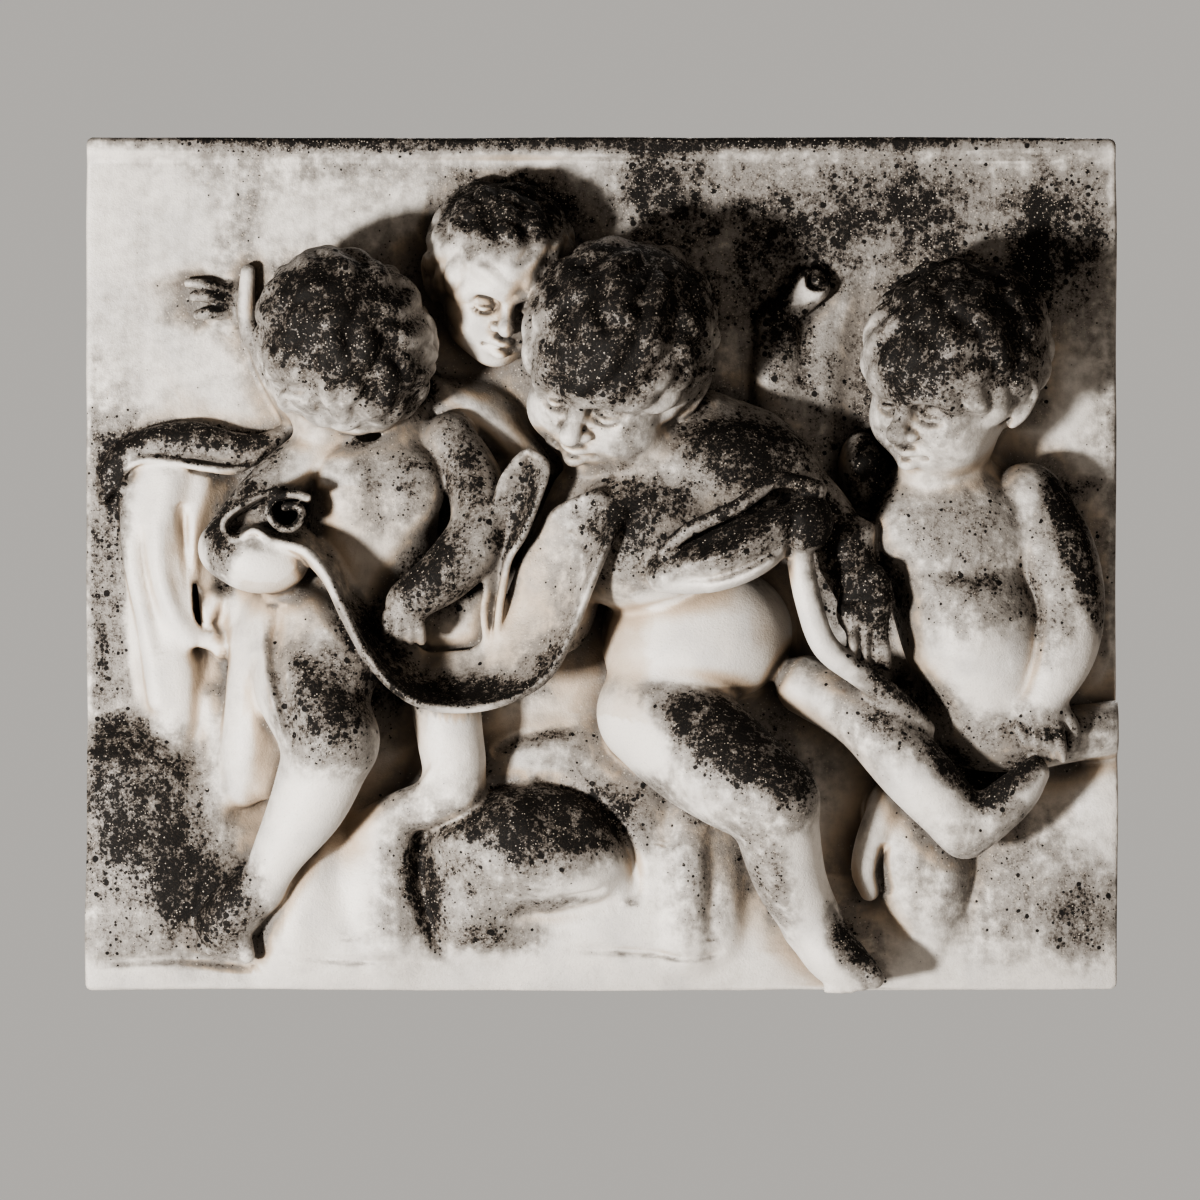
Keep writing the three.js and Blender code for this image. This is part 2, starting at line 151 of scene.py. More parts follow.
class Clay:
    """A block of distance values on a regular grid, negative inside the clay."""

    FAR = 60.0

    def __init__(self, low: Point, high: Point, voxel: float) -> None:
        """An empty block from low to high, with a grid step of voxel, all in millimetres.

        Args:
            low, high: its corners in millimetres.
            voxel: its grid step.
        """
        self.low = np.array(low, np.float64)
        self.voxel = voxel
        counts = np.ceil((np.array(high) - self.low) / voxel).astype(int) + 1
        self.field = np.full(tuple(counts), self.FAR, np.float32)

    def window(self, low: Array, high: Array) -> tuple[tuple[slice, ...], tuple[Array, Array, Array]]:
        """The grid cells of a box, as slices and as three coordinate arrays that broadcast.

        Args:
            low, high: the box's corners in millimetres.

        Returns:
            The slices, and the x, z and w arrays.
        """
        first = np.maximum(np.floor((low - self.low) / self.voxel).astype(int), 0)
        last = np.minimum(np.ceil((high - self.low) / self.voxel).astype(int) + 1, self.field.shape)
        cells = tuple(slice(a, max(a, b)) for a, b in zip(first, last))
        axes = [self.low[i] + self.voxel * np.arange(cells[i].start, cells[i].stop) for i in range(3)]
        x, z, w = (axes[i].astype(np.float32) for i in range(3))
        return cells, (x[:, None, None], z[None, :, None], w[None, None, :])

    def press(self, low: Array, high: Array, distance: Distance, blend: float = 0.0) -> None:
        """Adds a shape, given its box and its distance function, with a fillet of about blend.

        Args:
            low, high: the shape's corners.
            distance: its distance function.
            blend: the fillet.
        """
        margin = blend + 2.0 * self.voxel
        cells, (x, z, w) = self.window(np.asarray(low) - margin, np.asarray(high) + margin)
        self.field[cells] = smooth_min(self.field[cells], distance(x, z, w), blend)

    def carve(self, low: Array, high: Array, distance: Distance, blend: float = 0.0) -> None:
        """Takes a shape away, with its edge rounded by about blend.

        Args:
            low, high: the shape's corners.
            distance: its distance function.
            blend: the rounding.
        """
        margin = blend + 2.0 * self.voxel
        cells, (x, z, w) = self.window(np.asarray(low) - margin, np.asarray(high) + margin)
        self.field[cells] = -smooth_min(-self.field[cells], distance(x, z, w), blend)

    def skin(self) -> tuple[Array, Array]:
        """The surface where the distance is zero, by surface nets.

        Each grid cell that the surface crosses has one vertex, at the mean of the crossings on its edges,
        and each grid edge that it crosses has one quad, between the four cells around that edge.

        Returns:
            The vertices as (x, z, w), and the quads as vertex numbers, facing out.
        """
        f = self.field
        inside = f < 0
        corners = inside[:-1, :-1, :-1].astype(np.int8)
        for i, j, k in list(np.ndindex(2, 2, 2))[1:]:
            nx, nz, nw = (n - 1 for n in f.shape)
            corners = corners + inside[i : i + nx, j : j + nz, k : k + nw]
        active = (corners > 0) & (corners < 8)
        cells = np.argwhere(active)
        number = np.full(active.shape, -1, np.int32)
        number[active] = np.arange(len(cells), dtype=np.int32)
        total = np.zeros((len(cells), 3))
        count = np.zeros(len(cells))
        for axis in range(3):
            others = [a for a in range(3) if a != axis]
            for p, q in np.ndindex(2, 2):
                start = np.zeros(3, int)
                start[others] = (p, q)
                end = start.copy()
                end[axis] = 1
                a = f[tuple((cells + start).T)]
                b = f[tuple((cells + end).T)]
                cross = (a < 0) != (b < 0)
                t = np.where(cross, a / np.where(cross, a - b, 1.0), 0.0)
                place = start[None, :] + t[:, None] * (end - start)[None, :]
                total += np.where(cross[:, None], place, 0.0)
                count += cross
        vertices = self.low + self.voxel * (cells + total / count[:, None])
        quads = [self._quads(inside, number, axis) for axis in range(3)]
        return vertices, np.vstack(quads)

    @staticmethod
    def _quads(inside: Array, number: Array, axis: int) -> Array:
        """The quads around the crossed grid edges along one axis, turned to face out.

        Args:
            inside: whether each grid point is in the clay.
            number: the vertex number of each cell.
            axis: 0, 1 or 2.

        Returns:
            Four vertex numbers a row.
        """
        moved = np.moveaxis(inside, axis, 0)
        cells = np.moveaxis(number, axis, 0)
        start, end = moved[:-1, 1:-1, 1:-1], moved[1:, 1:-1, 1:-1]
        i, j, k = np.nonzero(start != end)
        ring = [cells[i, j + a, k + b] for a, b in ((0, 0), (1, 0), (1, 1), (0, 1))]
        quads = np.stack(ring, 1)
        leaving = start[i, j, k]
        if axis == 1:
            leaving = ~leaving
        quads[~leaving] = quads[~leaving][:, ::-1]
        return quads


@dataclass(frozen=True)
class Ball:
    """An ellipsoid of clay.

    Attributes:
        centre: its middle.
        radii: half its size along its own three axes.
        turn: degrees that its first axis is turned in the picture plane, anticlockwise.
        axes: its own three axes as rows, in place of turn.
        blend: the fillet where it meets the rest.
        lumps: height and wavelength of its unevenness.
    """

    centre: Point
    radii: Point
    turn: float = 0.0
    axes: Array | None = None
    blend: float = 6.0
    lumps: tuple[float, float] = (0.0, 40.0)

    def frame(self) -> Array:
        """The ellipsoid's own axes, as rows.

        Returns:
            A 3 by 3 array.
        """
        if self.axes is not None:
            return np.asarray(self.axes)
        c, s = math.cos(math.radians(self.turn)), math.sin(math.radians(self.turn))
        return np.array([[c, s, 0.0], [-s, c, 0.0], [0.0, 0.0, 1.0]])

    def box(self) -> tuple[Array, Array]:
        """The lowest and highest corner of the ellipsoid."""
        reach = np.sqrt(((self.frame() * np.array(self.radii)[:, None]) ** 2).sum(0)) + self.lumps[0]
        return np.array(self.centre) - reach, np.array(self.centre) + reach

    def distance(self, x: Array, z: Array, w: Array) -> Array:
        """Near distance to the ellipsoid: k0 (k0 - 1) / k1, for k0 and k1 the scaled lengths.

        Args:
            x, z, w: places in millimetres.

        Returns:
            The distance at each, negative inside.
        """
        px, pz, pw = x - self.centre[0], z - self.centre[1], w - self.centre[2]
        k0, k1 = 0.0, 0.0
        for axis, radius in zip(self.frame(), self.radii):
            along = (axis[0] * px + axis[1] * pz + axis[2] * pw) / radius
            k0 = k0 + along**2
            k1 = k1 + (along / radius) ** 2
        k0, k1 = np.sqrt(k0), np.sqrt(k1) + 1e-6
        d = k0 * (k0 - 1.0) / k1
        if self.lumps[0] > 0:
            d = d - self.lumps[0] * ripple(x, z, w, self.lumps[1], self.centre[0])
        return d

    def press(self, clay: Clay) -> None:
        """Adds the ellipsoid to the clay."""
        clay.press(*self.box(), self.distance, self.blend)

    def carve(self, clay: Clay) -> None:
        """Takes the ellipsoid out of the clay."""
        clay.carve(*self.box(), self.distance, self.blend)


@dataclass(frozen=True)
class Limb:
    """A round bar whose centre follows a smooth curve and whose radius changes along it.

    Attributes:
        path: points of the centre line, each with its radius.
        blend: the fillet where it meets the rest.
        flat: its depth as a share of its width.
    """

    path: Path
    blend: float = 6.0
    flat: float = 1.0

    def samples(self) -> Array:
        """The centre line's samples, each with its radius."""
        return curve(self.path, 10)

    def distance_along(self, line: Array) -> Distance:
        """Distance to the nearest cone between two samples: length off the axis, less the radius there.

        Args:
            line: the centre line's samples, each with its radius.

        Returns:
            The distance function.
        """
        stretch = 1.0 / self.flat

        def measure(x: Array, z: Array, w: Array) -> Array:
            """The distance at each place."""
            best = None
            for a, b in zip(line[:-1], line[1:]):
                run = (b[:3] - a[:3]) * (1.0, 1.0, stretch)
                length = max(float(run @ run), 1e-9)
                px, pz, pw = x - a[0], z - a[1], (w - a[2]) * stretch
                t = np.clip((px * run[0] + pz * run[1] + pw * run[2]) / length, 0.0, 1.0)
                off = (px - t * run[0]) ** 2 + (pz - t * run[1]) ** 2 + (pw - t * run[2]) ** 2
                d = np.sqrt(off) - (a[3] + (b[3] - a[3]) * t)
                best = d if best is None else np.minimum(best, d)
            return best * min(1.0, self.flat)

        return measure

    def box(self) -> tuple[Array, Array]:
        """The lowest and highest corner of the bar."""
        line = self.samples()
        return (line[:, :3] - line[:, 3:]).min(0), (line[:, :3] + line[:, 3:]).max(0)

    def press(self, clay: Clay) -> None:
        """Adds the bar to the clay."""
        clay.press(*self.box(), self.distance_along(self.samples()), self.blend)

    def carve(self, clay: Clay) -> None:
        """Takes the bar out of the clay."""
        clay.carve(*self.box(), self.distance_along(self.samples()), self.blend)


@dataclass(frozen=True)
class Sheet:
    """Cloth hung between two edges.

    Attributes:
        front: points of one edge.
        rear: points of the other edge, as many.
        sag: how far the cloth bellies out between them, square to both edges.
        thick: half its thickness at the edges.
        blend: the fillet where it meets the rest.
        folds: height and count of the small folds that run from edge to edge.
    """

    front: Path
    rear: Path
    sag: float = 0.0
    thick: float = 3.0
    blend: float = 4.0
    folds: tuple[float, float] = (0.0, 6.0)

    def grid(self, spacing: float) -> Array:
        """The cloth's middle surface as a grid of places.

        A place is the front edge plus t times the way to the rear edge, moved along the cloth's normal by
        sag times 4t(1 - t) and by a sine of the share along the edge.

        Args:
            spacing: the grid's step in millimetres.

        Returns:
            The places, as an array of rows and columns of (x, z, w).
        """
        a, b = curve(self.front, 12)[:, :3], curve(self.rear, 12)[:, :3]
        span = np.linalg.norm(np.diff(a, axis=0), axis=1).sum()
        width = np.linalg.norm(b - a, axis=1).max() + abs(self.sag)
        s = np.linspace(0, 1, int(span / spacing) + 2)
        t = np.linspace(0, 1, int(width / spacing) + 2)[None, :, None]
        known = np.linspace(0, 1, len(a))
        a, b = (np.stack([np.interp(s, known, e[:, i]) for i in range(3)], 1)[:, None] for e in (a, b))
        along = np.gradient(a[:, 0], axis=0)[:, None]
        normal = np.cross(along, b - a)
        normal = normal / np.linalg.norm(normal, axis=2, keepdims=True)
        wave = self.folds[0] * np.sin(2 * np.pi * self.folds[1] * s[:, None, None] + 3 * t)
        return a + (b - a) * t + normal * (self.sag * 4 * t * (1 - t) + wave * np.sqrt(t))

    def press(self, clay: Clay) -> None:
        """Adds the cloth to the clay: each grid cell near it takes the distance to its nearest place.

        Args:
            clay: the clay that it goes into.
        """
        spacing = clay.voxel * 0.6
        places = self.grid(spacing).reshape(-1, 3)
        low, high = places.min(0) - self.thick - self.blend, places.max(0) + self.thick + self.blend
        cells, axes = clay.window(low, high)
        shape = clay.field[cells].shape
        start = np.array([a.ravel()[0] for a in axes])
        near = np.full(int(np.prod(shape)), (self.thick + self.blend) ** 2 * 4, np.float32)
        base = np.floor((places - start) / clay.voxel).astype(int)
        span = int(np.ceil((self.thick + self.blend) / clay.voxel))
        for step_to in np.ndindex(*(2 * span + 2,) * 3):
            cell = base + np.array(step_to) - span
            held = ((cell >= 0) & (cell < shape)).all(1)
            gap = ((start + clay.voxel * cell[held] - places[held]) ** 2).sum(1).astype(np.float32)
            np.minimum.at(near, np.ravel_multi_index(tuple(cell[held].T), shape), gap)
        distance = np.sqrt(near).reshape(shape) - self.thick
        clay.field[cells] = smooth_min(clay.field[cells], distance, self.blend)


@dataclass(frozen=True)
class Head:
    """A child's head with short curls, in the proportions of a drawing manual: eyes at the mid height.

    Features are placed in head units, (right, forward, up), with the head two units tall.

    Attributes:
        centre: the middle of the head.
        size: one head unit, half the height from chin to crown.
        facing: the way the face looks.
        crown: the way the crown points, made square to facing.
        curl: picks the curls, so that heads differ.
        locks: how many locks a whole sphere of them would have.
        combed: the fillet between locks, in head units: more is smoother.
    """

    centre: Point
    size: float
    facing: Point
    crown: Point
    curl: float = 0.0
    locks: int = 120
    combed: float = 0.035

    def axes(self) -> Array:
        """The head's right, forward and up directions, as rows.

        Returns:
            A 3 by 3 array.
        """
        forward = unit(self.facing)
        up = np.array(self.crown) - forward * float(np.dot(self.crown, forward))
        up = unit(tuple(up))
        return np.array([np.cross(forward, up), forward, up])

    def at(self, right: float, forward: float, up: float) -> Point:
        """A place on the head, in clay millimetres."""
        return tuple(np.array(self.centre) + self.size * (np.array([right, forward, up]) @ self.axes()))

    def ball(self, place: Point, radii: Point, blend: float) -> Ball:
        """An ellipsoid feature, in head units."""
        s = self.size
        return Ball(self.at(*place), tuple(r * s for r in radii), axes=self.axes(), blend=blend * s)

    def bar(self, path: Path, blend: float) -> Limb:
        """A bar feature, in head units."""
        s = self.size
        return Limb(tuple((*self.at(*p[:3]), p[3] * s) for p in path), blend=blend * s)

    def press(self, clay: Clay) -> None:
        """Adds the skull, the face, the ears and the hair to the clay.

        Args:
            clay: the clay that it goes into.
        """
        self.ball((0, -0.12, 0.20), (0.76, 0.88, 0.76), 0).press(clay)
        self.ball((0, 0.16, -0.30), (0.60, 0.60, 0.60), 0.25).press(clay)
        self.ball((0, 0.36, 0.22), (0.56, 0.44, 0.46), 0.25).press(clay)
        self.ball((0, 0.47, -0.76), (0.20, 0.19, 0.17), 0.22).press(clay)
        self.ball((0, 0.16, -0.66), (0.42, 0.40, 0.22), 0.22).press(clay)
        for side in (-1, 1):
            self.ball((side * 0.34, 0.44, -0.40), (0.27, 0.28, 0.27), 0.22).press(clay)
            self._eye(clay, side)
            self._ear(clay, side)
        self._nose_and_mouth(clay)
        self._hair(clay)

    def _eye(self, clay: Clay, side: int) -> None:
        """The socket, the lowered lid with its edge, and the brow.

        Args:
            clay: the clay that it goes into.
            side: -1 for the left of the face, 1 for the right.
        """
        self.ball((side * 0.27, 0.80, -0.05), (0.20, 0.22, 0.15), 0.06).carve(clay)
        self.ball((side * 0.27, 0.57, -0.07), (0.15, 0.13, 0.11), 0.015).press(clay)
        lid = ((side * 0.11, 0.66, -0.10, 0.026), (side * 0.26, 0.72, -0.13, 0.036))
        self.bar((*lid, (side * 0.42, 0.62, -0.10, 0.024)), 0.012).press(clay)
        brow = ((side * 0.10, 0.80, 0.09, 0.055), (side * 0.28, 0.77, 0.14, 0.06))
        self.bar((*brow, (side * 0.47, 0.61, 0.06, 0.045)), 0.08).press(clay)

    def _ear(self, clay: Clay, side: int) -> None:
        """The rim of the ear as a bent bar, the lobe and the hollow.

        Args:
            clay: the clay that it goes into.
            side: -1 for the left of the head, 1 for the right.
        """
        rim = (
            (side * 0.74, 0.10, -0.06, 0.045),
            (side * 0.82, 0.06, 0.10, 0.05),
            (side * 0.87, -0.10, 0.12, 0.05),
            (side * 0.86, -0.19, -0.06, 0.05),
            (side * 0.79, -0.08, -0.27, 0.06),
            (side * 0.73, 0.02, -0.34, 0.06),
        )
        self.ball((side * 0.74, -0.06, -0.10), (0.09, 0.17, 0.22), 0.04).press(clay)
        self.bar(rim, 0.03).press(clay)
        self.ball((side * 0.86, -0.03, -0.08), (0.06, 0.08, 0.12), 0.03).carve(clay)

    def _nose_and_mouth(self, clay: Clay) -> None:
        """A short nose, full lips, the groove between them and the dip above the chin.

        Args:
            clay: the clay that it goes into.
        """
        self.bar(((0, 0.74, 0.08, 0.065), (0, 0.81, -0.12, 0.07), (0, 0.91, -0.27, 0.105)),
                 0.07).press(clay)
        for side in (-1, 1):
            self.ball((side * 0.115, 0.81, -0.30), (0.07, 0.085, 0.06), 0.025).press(clay)
            self.ball((side * 0.055, 0.88, -0.385), (0.035, 0.05, 0.03), 0.015).carve(clay)
        self.ball((0, 0.62, -0.55), (0.25, 0.16, 0.18), 0.12).press(clay)
        upper = ((-0.19, 0.69, -0.55, 0.025), (-0.07, 0.80, -0.49, 0.055), (0, 0.82, -0.505, 0.05))
        self.bar((*upper, (0.07, 0.80, -0.49, 0.055), (0.19, 0.69, -0.55, 0.025)), 0.025).press(clay)
        self.bar(((-0.13, 0.71, -0.625, 0.035), (0, 0.79, -0.645, 0.07), (0.13, 0.71, -0.625, 0.035)),
                 0.025).press(clay)
        line = ((-0.21, 0.74, -0.56, 0.032), (0, 0.88, -0.57, 0.040), (0.21, 0.74, -0.56, 0.032))
        self.bar(line, 0.02).carve(clay)
        self.ball((0, 0.76, -0.755), (0.14, 0.06, 0.04), 0.06).carve(clay)

    def _hair(self, clay: Clay) -> None:
        """Short curls: a cap to the hairline, and bent, tapering locks laid on it from the whorl outward.

        Args:
            clay: the clay that it goes into.
        """
        frame, s, centre = self.axes(), self.size, np.array(self.centre)

        def cap(x: Array, z: Array, w: Array) -> Array:
            """Distance to the cap, which ends at the hairline."""
            px, pz, pw = (x - centre[0]) / s, (z - centre[1]) / s, (w - centre[2]) / s
            r, f, u = (a[0] * px + a[1] * pz + a[2] * pw for a in frame)
            k0 = np.sqrt((r / 0.82) ** 2 + ((f + 0.12) / 0.99) ** 2 + ((u - 0.20) / 0.82) ** 2)
            bare = 1.0 - step(0.02, 0.10, self.hairline(f, u))
            return (k0 - 1.0 + 0.20 * bare) * (0.80 * s)

        clay.press(centre - 1.1 * s, centre + 1.1 * s, cap, 0.04 * s)
        chance = np.random.default_rng(int(100 * self.curl))
        for n in range(self.locks):
            up = 1.0 - 2.0 * (n + 0.5) / self.locks
            around = n * math.pi * (3.0 - math.sqrt(5.0))
            ring = math.sqrt(1.0 - up * up)
            start = np.array([ring * math.cos(around), ring * math.sin(around), up])
            bend = chance.choice((-1.0, 1.0)) * chance.uniform(0.15, 0.55)
            length = chance.uniform(0.15, 0.22)
            if self.hairline(-0.12 + 0.88 * start[1], 0.20 + 0.76 * start[2]) > 0.16:
                self.bar(self._lock(start, bend, length), self.combed).press(clay)

    @staticmethod
    def hairline(forward: Array, up: Array) -> Array:
        """Above zero where hair grows: over the brow, ahead of the ears and down to the nape."""
        return 0.80 * up - 0.58 * forward + 0.34

    @staticmethod
    def _lock(start: Array, bend: float, length: float) -> Path:
        """A lock on the skull: it leaves the whorl's side and turns by bend at each of its three steps.

        Args:
            start: its first point, as a direction from the skull's middle.
            bend: radians that it turns at each step.
            length: its step, as a share of the skull's radius.

        Returns:
            Its four points in head units, each with its radius.
        """
        whorl = np.array([0.1, -0.55, 0.83])
        way = start - whorl
        points, place = [], start
        for lift, radius in ((0.0, 0.09), (0.03, 0.125), (0.03, 0.115), (0.03, 0.05)):
            place = place / np.linalg.norm(place)
            skull = np.array([0.0, -0.12, 0.20]) + np.array([0.76, 0.88, 0.76]) * place * (1.0 + lift)
            points.append((*skull, radius))
            way = way - place * float(way @ place)
            way = way / (np.linalg.norm(way) + 1e-6)
            way = way * math.cos(bend) + np.cross(place, way) * math.sin(bend)
            place = place + way * length
        return tuple(points)


@dataclass(frozen=True)
class Hollow:
    """A form that is taken out of the clay instead of added."""

    form: Ball | Limb

    def press(self, clay: Clay) -> None:
        """Carves the form."""
        self.form.carve(clay)


@dataclass(frozen=True)
class Line:
    """A soft groove scored along a path on whatever lies there, or a ridge where its depth is negative.

    Attributes:
        path: its course, as (x, z).
        depth: how deep it is at its middle.
        width: half its width.
        past: the least w of the surface that it marks.
    """

    path: Path
    depth: float
    width: float
    past: float = -10.0

    def press(self, clay: Clay) -> None:
        """Moves the surface in by depth times a bell curve of the distance from the path.

        Args:
            clay: the clay that it marks.
        """
        course = curve(self.path, 10)
        reach = 2.5 * self.width
        low, high = (*(course.min(0) - reach), self.past), (*(course.max(0) + reach), 200.0)
        cells, (x, z, _) = clay.window(np.array(low), np.array(high))
        near = np.full(np.broadcast_shapes(x.shape, z.shape), 1e9, np.float32)
        share = np.linspace(-1.0, 1.0, len(course) - 1)
        faded = np.zeros_like(near)
        for a, b, end in zip(course[:-1], course[1:], 1.0 - share**6):
            run = b - a
            t = np.clip(((x - a[0]) * run[0] + (z - a[1]) * run[1]) / float(run @ run), 0.0, 1.0)
            off = (x - a[0] - t * run[0]) ** 2 + (z - a[1] - t * run[1]) ** 2
            faded = np.where(off < near, end, faded)
            near = np.minimum(near, off)
        clay.field[cells] += self.depth * faded * np.exp(-near / self.width**2)


def between(a: Point, b: Point, share: float) -> Array:
    """The place at a share of the way from a to b."""
    return np.array(a) + share * (np.array(b) - np.array(a))


def coil(centre: tuple[float, float], w: float, first: float, last: float, turns: float) -> Path:
    """A flat spiral at one depth, from the first radius in to the last, slightly uneven.

    Args:
        centre: its middle, as (x, z).
        w: its depth at the outer end.
        first, last: its outer and its inner radius.
        turns: how often it goes round.

    Returns:
        Its points, as (x, z, w).
    """
    points = []
    for share in np.linspace(0.0, 1.0, 18):
        angle = math.pi * (0.25 + 2.0 * turns * share)
        r = (first + (last - first) * share) * (1.0 + 0.06 * math.sin(3.0 * angle))
        points.append((centre[0] + 1.05 * r * math.cos(angle), centre[1] + 0.92 * r * math.sin(angle),
                       w - 4.0 * share))
    return tuple(points)


@dataclass(frozen=True)
class Hand:
    """A chubby hand: a palm and four fingers fanned between the first and the last.

    Attributes:
        palm: middle of the palm.
        radii: half its size along turn, across it and in depth.
        turn: degrees that the palm is turned in the picture plane.
        knuckles: where the first and the last finger start.
        tips: where the first and the last finger end.
        lift: how far the middle joints stand out, toward the viewer.
        finger: finger radius.
        thumb: the thumb's bar, if it shows.
    """

    palm: Point
    radii: Point
    turn: float
    knuckles: tuple[Point, Point]
    tips: tuple[Point, Point]
    lift: float = 4.0
    finger: float = 5.0
    thumb: Path = ()

    def press(self, clay: Clay) -> None:
        """Adds the palm, the fingers and the thumb to the clay.

        Args:
            clay: the clay that it goes into.
        """
        Ball(self.palm, self.radii, self.turn, blend=6).press(clay)
        for share in (0.0, 0.34, 0.67, 1.0):
            start, tip = (between(*ends, share) for ends in (self.knuckles, self.tips))
            middle = 0.45 * start + 0.55 * tip + np.array([0.0, 0.0, self.lift])
            r = self.finger * (1.0 - 0.22 * abs(share - 0.4))
            bones = ((*start, r), (*middle, r * 0.95), (*tip, r * 0.78))
            Limb(bones, blend=1.6).press(clay)
        if self.thumb:
            Limb(self.thumb, blend=3).press(clay)


@dataclass(frozen=True)
class Foot:
    """A chubby foot: heel, arch and ball as one bar, and five toes between the first and the last.

    Attributes:
        sole: the bar from the heel to the ball.
        toes: tips of the first and the last toe.
        root: where the first and the last toe start.
        toe: radius of the first toe; the last has two thirds of it.
    """

    sole: Path
    root: tuple[Point, Point]
    toes: tuple[Point, Point]
    toe: float = 5.0

    def press(self, clay: Clay) -> None:
        """Adds the foot to the clay.

        Args:
            clay: the clay that it goes into.
        """
        Limb(self.sole, blend=6).press(clay)
        for share in (0.0, 0.28, 0.54, 0.78, 1.0):
            start, tip = (between(*ends, share) for ends in (self.root, self.toes))
            r = self.toe * (1.0 - 0.34 * share)
            Limb(((*start, r), (*tip, r * 0.85)), blend=1.8).press(clay)


Form = Ball | Limb | Sheet | Hollow | Line | Hand | Foot | Head


class Figure:
    """A figure or a group of forms: its fields are pressed into the clay in the order that they are
    written."""

    def forms(self) -> list[Form]:
        """All the forms in the fields, tuples of forms opened out.

        Returns:
            The forms, in the order of the fields.
        """
        found = []
        for value in vars(self).values():
            found.extend(value if isinstance(value, tuple) else (value,))
        return found

    def press(self, clay: Clay) -> None:
        """Adds every form to the clay."""
        for form in self.forms():
            form.press(clay)


@dataclass
class BackBoy(Figure):
    """The boy in low relief at the back, his right hand raised behind the left boy's head."""

    chest: Ball = Ball((-74, 83, 2), (32, 24, 14), -30, blend=8)
    shoulder: Limb = Limb(((-104, 103, 4, 11), (-79, 89, 8, 13), (-49, 68, 8, 11), (-34, 53, 6, 8)), 6)
    forearm: Limb = Limb(((-181, 89, 2, 10), (-196, 113, 4, 9), (-206, 137, 6, 8)), 5)
    palm: Ball = Ball((-223, 155, 0), (15, 13, 6), -20, blend=4)
    fingers: tuple[Limb, ...] = (
        Limb(((-226, 163, 3, 3.6), (-238, 167, 6, 3.4), (-248, 168, 4, 2.8)), 1.6),
        Limb(((-227, 157, 4, 4.2), (-236, 160, 7, 4), (-244, 160, 5, 3.4)), 1.6),
        Limb(((-226, 150, 4, 4), (-235, 150, 7, 3.8), (-242, 149, 5, 3.2)), 1.6),
        Limb(((-210, 135, 6, 6), (-213, 153, 7, 5.6), (-212, 175, 6, 4.4)), 3),
    )
    head: Head = Head((-61, 172, 16), 51, (0.14, -0.44, 0.88), (0.16, 0.90, 0.42), curl=1.0)


@dataclass
class LeftBoy(Figure):
    """The boy on the left, bowed over the cloth."""

    torso: Limb = Limb(((-130, 74, 14, 30), (-134, 41, 20, 38), (-145, -10, 10, 40)), 8, flat=0.8)
    breast: tuple[Ball, ...] = (
        Ball((-150, 44, 38), (20, 24, 16), 10, blend=8),
        Ball((-114, 43, 38), (20, 24, 16), -5, blend=8),
    )
    right_arm: Limb = Limb(((-170, 67, 24, 16), (-198, 43, 34, 16), (-222, 9, 46, 18)), 6)
    right_hand: Ball = Ball((-204, 2, 56), (30, 20, 22), -8, blend=6)
    left_arm: Limb = Limb(((-91, 74, 26, 16), (-76, 49, 38, 17), (-72, 20, 50, 19), (-91, -5, 58, 17),
                           (-114, -22, 60, 13)), 5)
    left_hand: Hand = Hand(
        palm=(-116, -27, 60), radii=(14, 11, 8), turn=60,
        knuckles=((-126, -31, 64), (-109, -35, 62)), tips=((-128, -45, 58), (-107, -46, 54)), lift=4,
        finger=4.6,
    )
    lap: tuple[Limb, ...] = (
        Limb(((-190, -25, 26, 20), (-170, -41, 42, 22), (-154, -63, 50, 22)), 10),
        Limb(((-196, -17, 44, 3), (-199, -34, 42, 3.5), (-200, -52, 36, 3)), 5),
    )
    thigh: Limb = Limb(((-190, -46, 22, 28), (-174, -76, 46, 31), (-160, -103, 60, 28)), 8)
    edge: tuple[Line, ...] = (
        Line(((-196, -22), (-200, -53), (-193, -88), (-184, -124)), -3.0, 3.0, past=20),
        Line(((-188, -22), (-193, -53), (-186, -86), (-178, -118)), 3.0, 4.0, past=20),
        Line(((-204, -52), (-210, -82), (-212, -124)), 2.6, 4.0),
    )
    shin: Limb = Limb(((-161, -109, 58, 27), (-174, -142, 48, 23), (-192, -172, 36, 16),
                       (-204, -195, 28, 13)), 6)
    foot: Foot = Foot(
        ((-204, -193, 26, 14), (-217, -205, 24, 17), (-226, -217, 20, 16)),
        ((-215, -223, 24), (-238, -217, 18)), ((-212, -234, 24), (-239, -230, 18)), toe=6,
    )
    calf: tuple[Limb, ...] = (
        Limb(((-94, -76, 28, 21), (-91, -100, 28, 20), (-88, -121, 26, 19), (-89, -134, 26, 17)), 6),
        Limb(((-88, -135, 26, 16), (-103, -143, 24, 14), (-122, -149, 20, 12), (-140, -158, 12, 10)), 7),
        Limb(((-107, -133, 32, 1.6), (-97, -120, 42, 1.8), (-80, -113, 42, 1.6)), 3),
    )
    fall: tuple[Limb, ...] = (
        Limb(((-204, -52, 16, 16), (-208, -82, 18, 16), (-212, -112, 14, 15), (-214, -133, 8, 12)), 8),
        Limb(((-233, -82, -2, 6), (-230, -118, 3, 7), (-233, -157, 3, 6)), 10),
    )
    head: Head = Head((-155, 125, 42), 58, (0.60, -0.72, -0.34), (0.66, 0.18, 0.72), curl=2.6)


